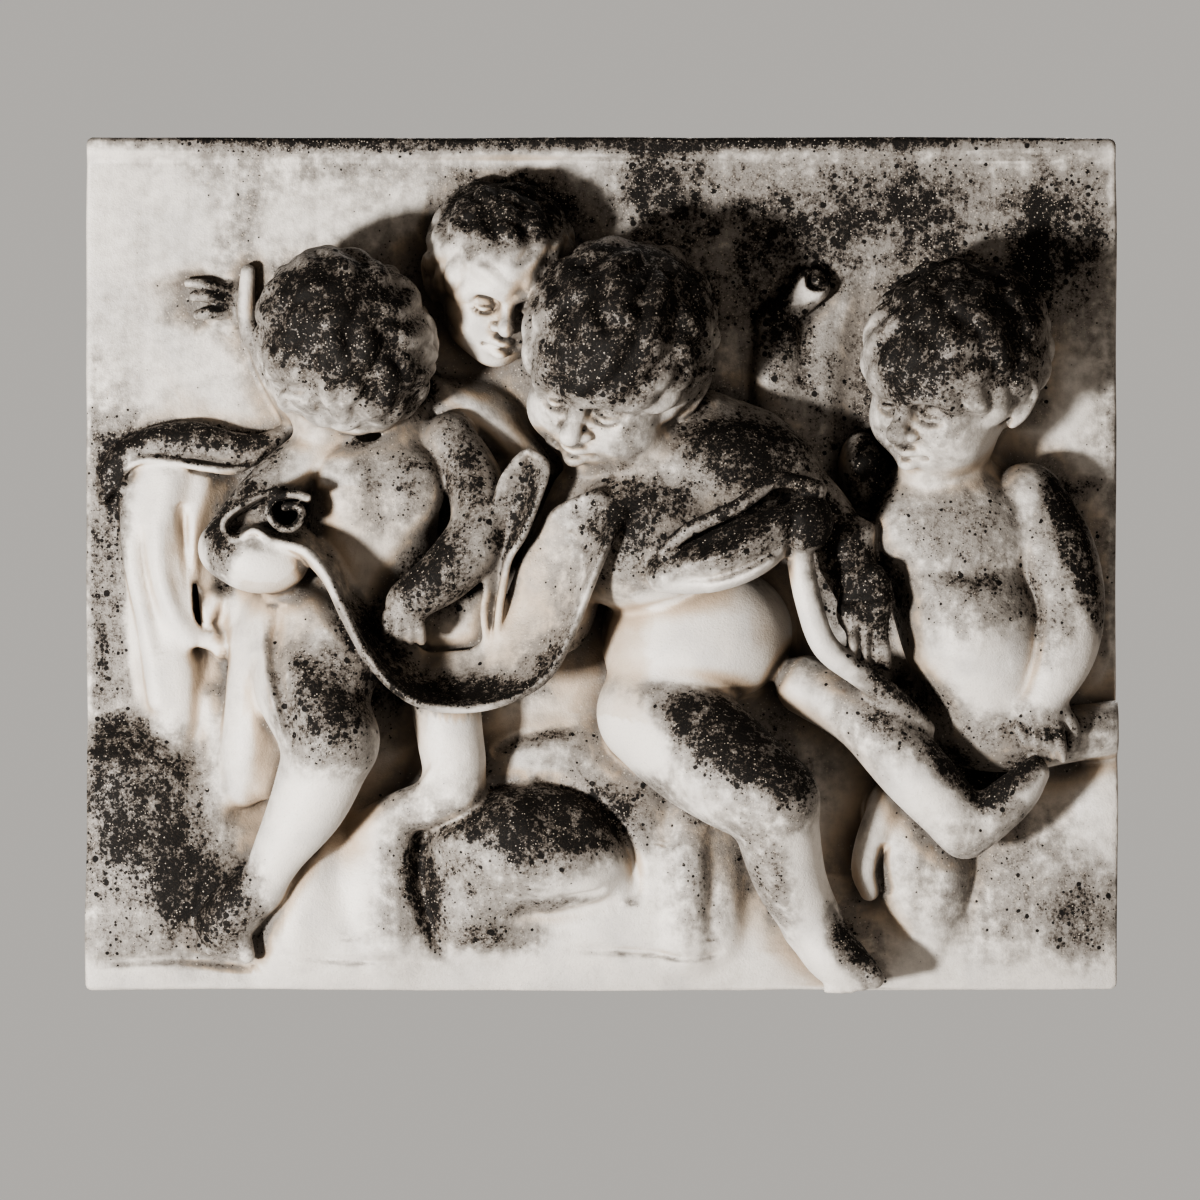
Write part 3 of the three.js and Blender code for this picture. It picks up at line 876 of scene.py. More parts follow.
@dataclass
class CentreBoy(Figure):
    """The boy in the middle, seated, with the cloth across his chest."""

    belly: tuple[Ball, ...] = (
        Ball((57, -41, 14), (57, 44, 42), 0, blend=8),
        Ball((53, -55, 24), (50, 26, 34), 0, blend=10),
    )
    chest: tuple[Ball, ...] = (
        Ball((32, 20, 38), (54, 46, 40), 25, blend=6),
        Ball((8, 13, 38), (30, 38, 32), 15, blend=10),
    )
    back: tuple[Limb, ...] = (
        Limb(((29, 56, 40, 26), (71, 53, 40, 34), (101, 53, 34, 28)), 8),
        Limb(((59, 74, 24, 30), (90, 67, 24, 26)), 8),
    )
    left_arm: Limb = Limb(((110, 50, 34, 20), (132, 26, 38, 19), (146, 1, 46, 17), (156, -25, 54, 13)), 6)
    left_hand: Hand = Hand(
        palm=(158, -35, 60), radii=(15, 12, 9), turn=-75,
        knuckles=((149, -41, 64), (166, -43, 62)), tips=((149, -59, 60), (169, -61, 56)), lift=5,
        finger=4.6,
    )
    sleeve: tuple[Ball, ...] = (
        Ball((146, 9, 50), (15, 20, 12), -30, blend=5, lumps=(2.5, 14)),
        Ball((160, -17, 60), (13, 18, 12), 20, blend=4, lumps=(2.5, 12)),
        Ball((150, -29, 60), (11, 13, 11), 0, blend=4),
    )
    knuckles: tuple[Line, ...] = (
        Line(((136, -5), (146, -2), (158, 2)), 2.2, 3.0, past=30),
        Line(((142, -25), (152, -22), (167, -20)), 2.6, 3.0, past=30),
        Line(((152, -35), (154, -46), (152, -61)), 2.6, 2.2, past=30),
        Line(((160, -37), (161, -47), (161, -61)), 2.6, 2.2, past=30),
    )
    right_arm: Limb = Limb(((-12, 39, 34, 19), (-25, 14, 34, 17), (-37, -13, 34, 14), (-48, -39, 34, 11)),
                           6)
    left_leg: Limb = Limb(((122, -73, 22, 18), (155, -91, 42, 20), (184, -122, 50, 21),
                           (208, -148, 48, 19)), 7)
    left_foot: Limb = Limb(((216, -159, 46, 17), (232, -149, 48, 15), (247, -136, 50, 13),
                            (257, -125, 50, 9)), 6)
    bend: Hollow = Hollow(Limb(((154, -113, 30, 2), (160, -107, 52, 2)), 3))
    thigh: Limb = Limb(((32, -89, 24, 35), (56, -109, 44, 36), (83, -129, 62, 32), (101, -139, 70, 27)), 8)
    shin: Limb = Limb(((102, -142, 68, 26), (106, -166, 60, 24), (113, -190, 50, 21), (124, -211, 42, 18)),
                      6)
    right_foot: Foot = Foot(
        ((126, -217, 38, 17), (136, -231, 42, 17), (144, -239, 42, 16)),
        ((156, -239, 48), (137, -248, 44)), ((162, -247, 50), (136, -254, 46)), toe=7,
    )
    head: Head = Head((7, 121, 54), 64, (-0.42, -0.56, 0.72), (0.10, 0.80, 0.60), curl=4.0)


@dataclass
class RightBoy(Figure):
    """The boy on the right, leaning on his arm, the other hand raised behind."""

    torso: tuple[Ball | Limb, ...] = (
        Limb(((206, 35, 14, 38), (210, 2, 18, 42), (221, -37, 20, 43), (233, -76, 12, 38)), 10),
        Ball((184, 19, 34), (26, 26, 18), 0, blend=14),
        Ball((228, 17, 36), (28, 26, 18), 0, blend=14),
        Ball((223, -43, 30), (36, 34, 34), 0, blend=14),
    )
    navel: tuple[Hollow | Line, ...] = (
        Hollow(Limb(((206, 35, 66, 4), (209, -1, 68, 3)), 12)),
        Hollow(Ball((209, -6, 64), (4, 5, 5), blend=6)),
        Hollow(Limb(((222, -9, 60, 1.5), (242, 1, 56, 1.5)), 9)),
        Line(((173, 2), (188, -3), (209, -5), (233, 2)), 1.3, 7.0, past=20),
        Line(((194, -58), (218, -65), (245, -58)), 1.4, 7.0, past=20),
    )
    shoulder: Ball = Ball((158, 53, 10), (16, 26, 16), 10, blend=6)
    forearm: tuple[Limb, ...] = (
        Limb(((119, 56, 0, 18), (109, 80, 1, 16), (105, 110, 2, 15), (106, 136, 3, 12)), 4, flat=0.6),
        Limb(((146, 163, 0, 4), (136, 134, 0, 11), (128, 98, 1, 15), (125, 67, 1, 15)), 4, flat=0.4),
        Limb(((101, 145, 4, 9), (114, 155, 6, 10), (126, 166, 8, 11)), 3, flat=0.8),
    )
    cuff: tuple[Hollow | Ball, ...] = (
        Hollow(Ball((130, 170, 16), (8.5, 7, 10), 20, blend=2)),
        Ball((129, 169, 8), (4.5, 4, 5), blend=1),
    )
    left_arm: Limb = Limb(((254, 37, 22, 23), (269, 8, 28, 25), (278, -22, 34, 22), (275, -51, 38, 20),
                           (264, -77, 38, 15)), 4)
    elbow: Hollow = Hollow(Limb(((259, -29, 52, 1.5), (272, -26, 60, 1.5), (287, -19, 54, 1.5)), 4))
    left_hand: Hand = Hand(
        palm=(259, -91, 42), radii=(17, 14, 10), turn=0,
        knuckles=((248, -97, 47), (271, -98, 46)), tips=((254, -112, 44), (274, -116, 44)), lift=4,
        finger=4.6,
        thumb=((274, -88, 40, 5), (280, -99, 40, 5), (279, -109, 37, 4)),
    )
    head: Head = Head((208, 113, 44), 61, (-0.62, -0.40, 0.66), (-0.10, 0.86, 0.50), curl=5.3)


@dataclass
class Swag(Figure):
    """The cloth: a rolled end on the left, a bowl, a roll across the chest and a band with a loose tail."""

    lining: Ball = Ball((-88, -28, 8), (56, 44, 26), -10, blend=6)
    inner: Ball = Ball((-25, -10, 22), (24, 45, 22), blend=6)
    bowl: Sheet = Sheet(
        ((-217, 14, 66), (-194, 12, 72), (-175, 7, 78), (-164, -5, 82), (-152, -28, 85), (-142, -49, 85),
         (-125, -71, 83),
         (-106, -83, 80), (-79, -86, 76), (-54, -80, 73), (-32, -66, 72), (-18, -41, 74), (-7, -13, 79),
         (3, 11, 83),
         (12, 27, 76)),
        ((-204, 31, 50), (-186, 23, 44), (-170, 14, 40), (-154, -1, 36), (-140, -21, 34), (-127, -37, 33),
         (-115, -49, 33),
         (-98, -56, 34), (-77, -53, 38), (-61, -38, 44), (-52, -15, 50), (-41, 8, 56), (-28, 28, 62),
         (-14, 37, 68),
         (-1, 40, 70)),
        sag=-6, thick=3.0, folds=(1.1, 9),
    )
    hem: Sheet = Sheet(
        ((-43, 66, 64), (-34, 60, 72), (-33, 52, 75), (-38, 37, 76), (-46, 17, 73), (-55, 2, 67),
         (-59, -16, 60),
         (-61, -31, 53), (-62, -49, 44)),
        ((-46, 65, 62), (-52, 59, 63), (-59, 48, 64), (-63, 34, 64), (-67, 22, 62), (-69, 11, 59),
         (-68, -12, 55),
         (-70, -27, 50), (-68, -49, 42)),
        sag=7, thick=2.4, blend=3,
    )
    roll: tuple[Limb, ...] = (
        Limb(((37, -7, 80, 11), (59, -2, 84, 16), (84, 8, 86, 18), (104, 19, 84, 15)), 4),
        Limb(((106, 20, 84, 15), (119, 23, 82, 17), (121, 29, 78, 14)), 3),
        Limb(((36, 6, 88, 4), (51, 19, 94, 4.5), (80, 33, 98, 4.5), (101, 48, 92, 5), (116, 47, 88, 5),
              (127, 43, 82, 6)), 3),
    )
    rolled_end: Sheet = Sheet(coil((-185, 29), 76, 14, 5, 1.2), coil((-185, 29), 48, 12, 4, 1.2), thick=2.6,
                              blend=2)
    beak: Sheet = Sheet(
        ((-191, 44, 74), (-206, 38, 77), (-219, 30, 77), (-224, 23, 75), (-222, 17, 73), (-215, 14, 72),
         (-206, 19, 74),
         (-198, 15, 74)),
        ((-192, 38, 50), (-205, 34, 50), (-215, 29, 50), (-219, 24, 50), (-218, 19, 50), (-213, 18, 50),
         (-205, 22, 50),
         (-198, 19, 50)),
        thick=1.9, blend=2,
    )
    under: Ball = Ball((-204, 26, 44), (22, 14, 14), 20, blend=3)
    creases: tuple[Line, ...] = (
        Line(((40, -10), (66, -8), (90, 1), (110, 14)), 3.2, 2.6, past=60),
        Line(((44, -2), (70, 4), (95, 17), (113, 31)), -3.6, 3.4, past=60),
        Line(((48, 7), (74, 15), (100, 31), (119, 40)), 1.8, 3.0, past=60),
        Line(((59, -16), (84, -9), (104, 4)), -2.6, 3.0, past=60),
        Line(((110, 3), (111, 15), (115, 28)), 4.0, 2.8, past=60),
        Line(((-1, -22), (14, -4), (26, 11)), 2.4, 3.5, past=50),
        Line(((12, 27), (3, 11), (-7, -13), (-18, -41), (-32, -66), (-54, -80), (-79, -86)), -2.4, 2.0,
             past=55),
        Line(((-79, -86), (-106, -83), (-125, -71), (-142, -49), (-152, -28), (-164, -5), (-175, 7)), -2.0,
             2.0, past=55),
        Line(((-20, 19), (-13, 13), (-3, 5)), 2.6, 3.0, past=40),
    )
    band: Limb = Limb(((116, 9, 78, 8), (122, -22, 76, 8), (132, -49, 72, 8), (152, -65, 66, 8),
                       (174, -81, 58, 7), (194, -98, 48, 4)), 4)


@dataclass
class LeftDrapery(Figure):
    """Cloth hung at the left edge, with a roll along its top and folds down it."""

    cloth: tuple[Limb, ...] = (
        Limb(((-260, 53, -8, 26), (-262, 14, -6, 25), (-262, -28, -4, 20), (-258, -70, -2, 17),
              (-256, -91, -3, 15)), 8),
        Limb(((-238, 50, -6, 16), (-238, 14, -4, 14), (-241, -22, -2, 10)), 8),
    )
    rolls: tuple[Limb, ...] = (
        Limb(((-298, 40, 2, 4), (-292, 58, 4, 8), (-271, 70, 5, 11), (-245, 73, 6, 12), (-222, 68, 6, 11),
              (-204, 70, 6, 8),
              (-188, 80, 4, 4)), 4),
        Limb(((-299, 38, 6, 2), (-283, 58, 12, 2.5), (-267, 62, 16, 2.5), (-237, 57, 17, 2.5),
              (-217, 56, 15, 2.5),
              (-201, 68, 12, 2), (-188, 80, 8, 2)), 2),
    )
    folds: tuple[Limb | Ball | Line, ...] = (
        Ball((-221, -34, -4), (16, 24, 13), blend=6),
        Limb(((-284, 44, 6, 5), (-281, 2, 9, 5), (-271, -40, 11, 5), (-265, -82, 10, 5)), 7),
        Limb(((-259, 50, 14, 5), (-267, 8, 16, 6), (-258, -26, 16, 5), (-246, -46, 13, 4)), 7),
        Limb(((-238, 50, 8, 5), (-247, 8, 12, 6), (-245, -28, 13, 5), (-238, -46, 10, 4)), 6),
        Limb(((-232, -22, 6, 7), (-238, -37, 8, 6), (-228, -51, 8, 6)), 5),
        Limb(((-211, -22, 6, 14), (-210, -76, 8, 14), (-217, -133, 4, 9)), 6),
        Limb(((-181, -22, 14, 12), (-187, -76, 18, 12), (-200, -133, 12, 8)), 6),
        Line(((-252, 38), (-249, 14), (-244, -28), (-233, -44)), 4.0, 4.0),
        Line(((-274, 26), (-271, -16), (-262, -58)), 2.5, 5.0),
        Line(((-222, -46), (-218, -82), (-222, -124)), 3.0, 4.0),
    )


@dataclass
class Rocks(Figure):
    """The ground: a mound, a spotted boulder, the right-hand ledge, a hanging lobe and low corners."""

    mound: tuple[Ball, ...] = (
        Ball((-10, -179, -2), (110, 82, 26), 0, blend=12, lumps=(3, 50)),
        Ball((-151, -208, -2), (66, 62, 24), 0, blend=14, lumps=(2.5, 45)),
        Ball((-91, -202, -2), (50, 50, 22), 0, blend=14, lumps=(2.5, 45)),
    )
    swells: tuple[Limb, ...] = (
        Limb(((-178, -178, 8, 16), (-184, -226, 8, 16)), 12),
        Limb(((-128, -163, 10, 16), (-126, -226, 8, 18)), 12),
        Limb(((53, -151, 8, 14), (55, -184, 14, 15), (53, -229, 8, 14)), 12),
        Limb(((72, -160, 4, 9), (74, -196, 10, 9), (72, -229, 6, 8)), 8),
    )
    boulder: tuple[Ball, ...] = (
        Ball((-44, -170, 10), (66, 42, 40), -8, blend=4, lumps=(6, 34)),
        Ball((-73, -202, 2), (38, 36, 34), 20, blend=8, lumps=(4, 34)),
        Ball((-7, -178, 4), (30, 26, 30), 0, blend=8, lumps=(4, 34)),
    )
    cracks: tuple[Line, ...] = (
        Line(((-68, -115), (-43, -103), (-12, -98)), 2.0, 4.0),
        Line(((-92, -235), (-101, -217), (-109, -183), (-104, -163), (-71, -139), (-42, -128)), 5.0, 5.0),
        Line(((-42, -128), (-13, -139), (11, -163), (21, -188), (16, -205)), 4.5, 5.0),
        Line(((-79, -220), (-49, -211), (-16, -209), (14, -201)), 1.6, 6.0),
        Line(((32, -118), (40, -142), (36, -172)), 3.0, 6.0),
        Line(((-154, -160), (-156, -190), (-151, -229)), 2.5, 8.0),
        Line(((64, -154), (65, -190), (64, -229)), 2.5, 5.0),
        Line(((212, -169), (221, -194), (212, -220)), 3.0, 5.0),
    )
    overhang: Hollow = Hollow(Limb(((-1, -197, 34, 3), (-34, -204, 40, 3.5), (-58, -209, 38, 3),
                                    (-73, -218, 34, 2)), 4))
    ledge: Limb = Limb(((186, -81, 4, 13), (214, -102, 16, 18), (245, -107, 20, 18), (275, -103, 20, 17),
                        (308, -98, 12, 16)), 5)
    slope: Ball = Ball((263, -202, -12), (78, 84, 26), blend=12, lumps=(1.5, 60))
    bulge: Ball = Ball((301, -142, -4), (26, 34, 18), blend=12)
    lobe: tuple[Limb | Line, ...] = (
        Limb(((182, -149, 6, 24), (190, -178, 8, 30), (197, -207, 6, 22), (202, -230, 3, 8)), 5, flat=0.75),
        Limb(((172, -142, 16, 11), (162, -165, 20, 10), (157, -183, 22, 8), (160, -196, 18, 6)), 4),
        Line(((169, -165), (167, -181), (172, -199)), 2.6, 4.0),
        Line(((190, -151), (197, -178), (197, -211)), 1.2, 6.0),
    )
    corner: tuple[Ball, ...] = (
        Ball((-277, -142, -6), (44, 44, 22), blend=14, lumps=(4, 26)),
        Ball((-258, -181, -6), (56, 44, 24), blend=14, lumps=(4, 28)),
        Ball((-283, -214, -6), (48, 36, 20), blend=14, lumps=(3, 26)),
    )
    crease: tuple[Line, ...] = (
        Line(((-307, -239), (-253, -237), (-204, -242)), 2.2, 3.0),
        Line(((-196, -233), (-157, -237), (-94, -239)), 1.6, 2.2),
        Line(((-25, -231), (23, -232), (53, -236), (76, -231)), 2.2, 2.4),
    )


@dataclass
class Slab(Figure):
    """The slab: a plain field, a lip along the top, a low border on the left and a strip of ground below."""

    half_width: float = 310.0
    half_height: float = 256.5
    thick: float = 22.0
    lip: float = 3.5
    lip_height: float = 11.0
    ground: float = 10.0
    ground_height: float = 22.0
    corner: float = 4.0
    worn: float = 1.0

    def height(self, x: Array, z: Array) -> Array:
        """How far the plain front stands out at each place: the lip, the ground's rise and a slight waviness.

        Args:
            x, z: places in millimetres.

        Returns:
            The height at each, in millimetres.
        """
        top = step(self.half_height - self.lip_height - 5, self.half_height - self.lip_height + 2, z)
        low = step(-self.half_height + 90, -self.half_height + self.ground_height, z)
        wave = ripple(x, z, 0 * x, 110, 3.0)
        return self.lip * top + self.ground * low + 1.0 * wave

    def outline(self, x: Array, z: Array) -> Array:
        """Distance to the rounded, slightly uneven outline.

        Args:
            x, z: places in millimetres.

        Returns:
            The distance at each, negative inside.
        """
        wave = self.worn * ripple(x, z, 0 * x, 70, 8.0) - self.worn
        dx = np.abs(x) - (self.half_width - self.corner) - wave
        dz = np.abs(z) - (self.half_height - self.corner) - wave
        return np.hypot(np.maximum(dx, 0), np.maximum(dz, 0)) + np.minimum(np.maximum(dx, dz),
                                                                           0) - self.corner

    def distance(self, x: Array, z: Array, w: Array) -> Array:
        """Greatest of the distances to the front, the back and the outline."""
        front = (w - self.height(x, z)) * 0.9
        return -smooth_min(-self.outline(x, z), -np.maximum(front, -self.thick - w), 3.0)

    def trim(self, clay: Clay) -> None:
        """Cuts everything that stands past the outline or the back."""
        _, (x, z, w) = clay.window(clay.low, clay.low + clay.voxel * np.array(clay.field.shape))
        np.maximum(clay.field, np.maximum(self.outline(x, z), -self.thick - w), out=clay.field)

    def press(self, clay: Clay) -> None:
        """Adds the slab to the clay."""
        reach = np.array([self.half_width + 2, self.half_height + 2, self.lip + self.ground + 3])
        clay.press(-np.array([reach[0], reach[1], self.thick]), reach, self.distance)


@dataclass(frozen=True)
class Stain:
    """A soft-edged patch of dark growth, or of clean surface where its strength is negative; the patch in the
    cuff is painted shade.

    Attributes:
        centre: its middle, as (x, z).
        radii: half its width and height.
        strength: how much growth it adds at its middle.
        turn: degrees that it is turned anticlockwise.
        deepest: the greatest w that it reaches, so that a patch on the slab leaves the figures alone.
    """

    centre: tuple[float, float]
    radii: tuple[float, float]
    strength: float
    turn: float = 0.0
    deepest: float = 200.0

    def at(self, x: Array, z: Array, w: Array) -> Array:
        """Its growth at each place: full over the inner part, fading to nothing at the rim.

        Args:
            x, z, w: places in millimetres.

        Returns:
            The growth at each.
        """
        c, s = math.cos(math.radians(self.turn)), math.sin(math.radians(self.turn))
        along = (x - self.centre[0]) * c + (z - self.centre[1]) * s
        across = (z - self.centre[1]) * c - (x - self.centre[0]) * s
        far = np.hypot(along / self.radii[0], across / self.radii[1])
        return self.strength * step(1.2, 0.25, far) * (w < self.deepest)


ON_SLAB = 14.0
STAINS = (
    Stain((-1, 253), (340, 8), 0.75),
    Stain((-222, 212), (9, 44), 0.35, deepest=ON_SLAB),
    Stain((-126, 237), (10, 18), 0.40, deepest=ON_SLAB),
    Stain((-181, 242), (120, 20), 0.22, deepest=ON_SLAB),
    Stain((40, 221), (44, 46), 0.72, deepest=ON_SLAB),
    Stain((104, 188), (34, 70), 0.62, deepest=ON_SLAB),
    Stain((140, 203), (30, 50), 0.55, deepest=ON_SLAB),
    Stain((191, 215), (52, 44), 0.80, deepest=ON_SLAB),
    Stain((272, 197), (44, 66), 0.85, deepest=ON_SLAB),
    Stain((155, 110), (34, 50), 0.30, deepest=ON_SLAB),
    Stain((305, 50), (12, 130), 0.32, deepest=ON_SLAB),
    Stain((-296, 2), (17, 160), 0.62, deepest=ON_SLAB),
    Stain((-277, -154), (56, 76), 0.80),
    Stain((-232, -205), (42, 42), 0.80),
    Stain((-289, -226), (40, 16), 0.35),
    Stain((290, -214), (30, 34), 0.50),
    Stain((-160, 143), (62, 44), 0.95),
    Stain((-121, 104), (30, 26), 0.65),
    Stain((-52, 212), (48, 24), 0.85),
    Stain((14, 161), (62, 34), 1.0),
    Stain((53, 128), (20, 44), 0.70),
    Stain((-7, 116), (48, 24), 0.50),
    Stain((212, 158), (56, 30), 1.0),
    Stain((245, 128), (26, 44), 0.70),
    Stain((179, 116), (24, 28), 0.50),
    Stain((86, 63), (52, 26), 0.95, turn=-18),
    Stain((59, 38), (34, 22), 0.50),
    Stain((20, 11), (32, 46), 0.50),
    Stain((86, 17), (56, 24), 0.75, turn=20),
    Stain((119, 26), (16, 20), 0.62),
    Stain((150, -10), (26, 62), 0.95, turn=28),
    Stain((160, 53), (18, 30), 0.90),
    Stain((-84, 56), (20, 38), 0.55, turn=20),
    Stain((-97, -10), (44, 30), 0.75, turn=38),
    Stain((-49, 35), (18, 42), 0.66, turn=-18),
    Stain((-226, 8), (14, 34), 0.75),
    Stain((-204, 38), (24, 14), 0.60),
    Stain((-253, 73), (64, 14), 0.66),
    Stain((-294, 56), (10, 26), 0.66),
    Stain((-208, 65), (30, 20), 0.40),
    Stain((-133, -55), (26, 50), 0.55, turn=32),
    Stain((-79, -76), (66, 12), 0.55),
    Stain((-25, -58), (20, 36), 0.45, turn=-28),
    Stain((-163, -91), (36, 48), 0.66, turn=14),
    Stain((71, -105), (62, 30), 0.90, turn=-30),
    Stain((113, -136), (20, 30), 0.55),
    Stain((98, -183), (18, 50), 0.46, turn=20),
    Stain((150, -229), (14, 34), 0.70, turn=32),
    Stain((218, -127), (42, 14), 0.80, turn=-36),
    Stain((242, -129), (26, 10), 0.66, turn=28),
    Stain((167, -91), (26, 20), 0.30, turn=-38),
    Stain((282, 8), (12, 62), 0.95, turn=18),
    Stain((257, -103), (64, 20), 0.55),
    Stain((185, -76), (40, 16), 0.62, turn=-24),
    Stain((-25, -157), (56, 32), 0.80),
    Stain((-106, -199), (12, 42), 0.50, turn=14),
    Stain((-61, -223), (36, 12), 0.50),
    Stain((-37, -205), (40, 5), 0.45, turn=8),
    Stain((-40, -106), (32, 6), 0.45, turn=14),
    Stain((23, -142), (24, 40), 0.20, turn=-30),
    # painted shade: darkens the inside of the carved cuff
    Stain((131, 170), (8, 8), 0.60),
    Stain((108, 128), (20, 50), 0.38),
    Stain((128, 98), (18, 50), 0.22),
    Stain((-235, 158), (20, 20), 0.55),
    Stain((-212, 158), (6, 20), -0.40),
    Stain((212, 2), (58, 62), 0.38),
    Stain((269, -16), (24, 62), 0.30),
    Stain((-124, 44), (44, 40), 0.38),
    Stain((-1, 104), (48, 48), 0.40),
    Stain((194, 104), (44, 50), 0.42),
    Stain((11, 38), (44, 44), 0.38),
    Stain((-73, -178), (62, 60), 0.34),
    Stain((59, -184), (34, 60), 0.32),
    Stain((239, -190), (86, 60), 0.32),
    Stain((-185, 29), (18, 16), 0.75),
    Stain((-1, 131), (62, 42), 0.35),
    Stain((206, 128), (58, 44), 0.35),
    Stain((-154, 113), (56, 46), 0.36),
    Stain((-61, 203), (50, 30), 0.25),
    Stain((-67, 158), (36, 40), 0.16),
    Stain((-121, -190), (60, 60), 0.26),
    Stain((11, -130), (40, 40), 0.24),
    Stain((155, -100), (40, 40), 0.22),
    Stain((-1, 140), (330, 190), 0.15, deepest=ON_SLAB),
    Stain((-25, 2), (30, 60), 0.16),
    Stain((59, -46), (62, 38), -0.60),
    Stain((23, -103), (30, 30), -0.50),
    Stain((-259, -16), (32, 80), -0.60),
    Stain((-163, -178), (36, 60), -0.45),
    Stain((-7, 74), (20, 20), -0.25),
    Stain((-61, 146), (34, 40), -0.20),
    Stain((-205, -7), (24, 14), -0.50),
)


class Mask(Enum):
    """The values that the piece carries at its vertices for its finish, painted shade of the hollows and
    grooves included.
    """

    GRIME_AND_SHADE = "grime_and_shade"
    HOLLOW = "hollow"
    GROOVE = "groove"


@dataclass(frozen=True)
class Growth:
    """Where the dark growth, the grey wash and the painted shade of the hollows and grooves sit on the
    casting.

    Attributes:
        reach: how far above a place the clay is looked for, to tell whether rain falls on it.
        hollow_reach: how far out from a place the clay is looked for, to tell whether it lies in a hollow,
            and the share that each distance has in it.
        groove_reach: the same for narrow grooves.
    """

    reach: float = 70.0
    hollow_reach: tuple[tuple[float, float], ...] = ((6.0, 0.30), (14.0, 0.40), (30.0, 0.30))
    groove_reach: tuple[tuple[float, float], ...] = ((2.5, 0.45), (4.5, 0.55))
    stains: tuple[Stain, ...] = STAINS

    def sample(self, clay: Clay, places: Array) -> Array:
        """The clay's distance at each place, from the eight grid cells around it.

        Args:
            clay: the clay that is looked at.
            places: as (x, z, w) in millimetres.

        Returns:
            The distances, with the way back to the block added for a place outside it.
        """
        where = (places - clay.low) / clay.voxel
        held = np.clip(where, 0, np.array(clay.field.shape) - 1.001)
        cell = held.astype(int)
        share = held - cell
        total = clay.voxel * np.linalg.norm(where - held, axis=1)
        for corner in np.ndindex(2, 2, 2):
            weight = np.prod(np.where(corner, share, 1.0 - share), axis=1)
            total = total + weight * clay.field[tuple((cell + corner).T)]
        return total

    def sheltered(self, clay: Clay, places: Array, normals: Array) -> Array:
        """How much of the sky above each place is hidden by clay, from 0 to 1.

        Args:
            clay: the clay that may hide the sky.
            places: as (x, z, w) in millimetres.
            normals: the way that the surface faces at each.

        Returns:
            The hidden share at each.
        """
        start = places + normals * 4.0
        hidden = np.zeros(len(places))
        ways = ((0.0, 1.0, 0.25), (0.3, 1.0, 0.5), (-0.3, 1.0, 0.5), (0.0, 0.8, 0.9))
        for way in ways:
            blocked = np.zeros(len(places), bool)
            for far in np.linspace(3.0, self.reach, 14):
                blocked |= self.sample(clay, start + far * unit(way)) < 0
            hidden += blocked / len(ways)
        return hidden

    def hollow(self, clay: Clay, places: Array, normals: Array,
               reach: tuple[tuple[float, float], ...]) -> Array:
        """How deep each place lies in a hollow: 1 less the free distance ahead of it over the distance gone.

        Args:
            clay: the clay around.
            places: as (x, z, w) in millimetres.
            normals: the way that the surface faces at each.
            reach: the distances gone, each with its share.

        Returns:
            The depth at each, from 0 to 1.
        """
        free = 0.0
        for far, share in reach:
            free = free + share * np.clip(self.sample(clay, places + normals * far) / far, 0, 1)
        return 1.0 - free

    def masks(self, clay: Clay, places: Array, normals: Array) -> dict[Mask, Array]:
        """The growth, with painted shade in the hollows added to it, and the hollows and grooves, at each
        place.

        Args:
            clay: the clay that the places lie on.
            places: as (x, z, w) in millimetres.
            normals: the way that the surface faces at each.

        Returns:
            grime, hollow and groove, each from 0 to 1.
        """
        x, z, w = places.T
        shelter = self.sheltered(clay, places, normals)
        hollow = self.hollow(clay, places, normals, self.hollow_reach)
        groove = self.hollow(clay, places, normals, self.groove_reach)
        sky = step(-0.10, 0.85, normals[:, 1] + 0.10 * normals[:, 2])
        # growth on faces open to the rain, and painted shade: a darker film in the hollows
        grime_and_shade = 0.06 + 0.42 * sky * (1.0 - 0.75 * shelter) + 0.30 * step(0.50, 0.95, hollow)
        for stain in self.stains:
            grime_and_shade = grime_and_shade + stain.at(x, z, w)
        grime_and_shade = grime_and_shade * step(-18.0, -4.0, w)
        found = {Mask.GRIME_AND_SHADE: grime_and_shade, Mask.HOLLOW: hollow, Mask.GROOVE: groove}
        return {mask: np.clip(values, 0, 1) for mask, values in found.items()}


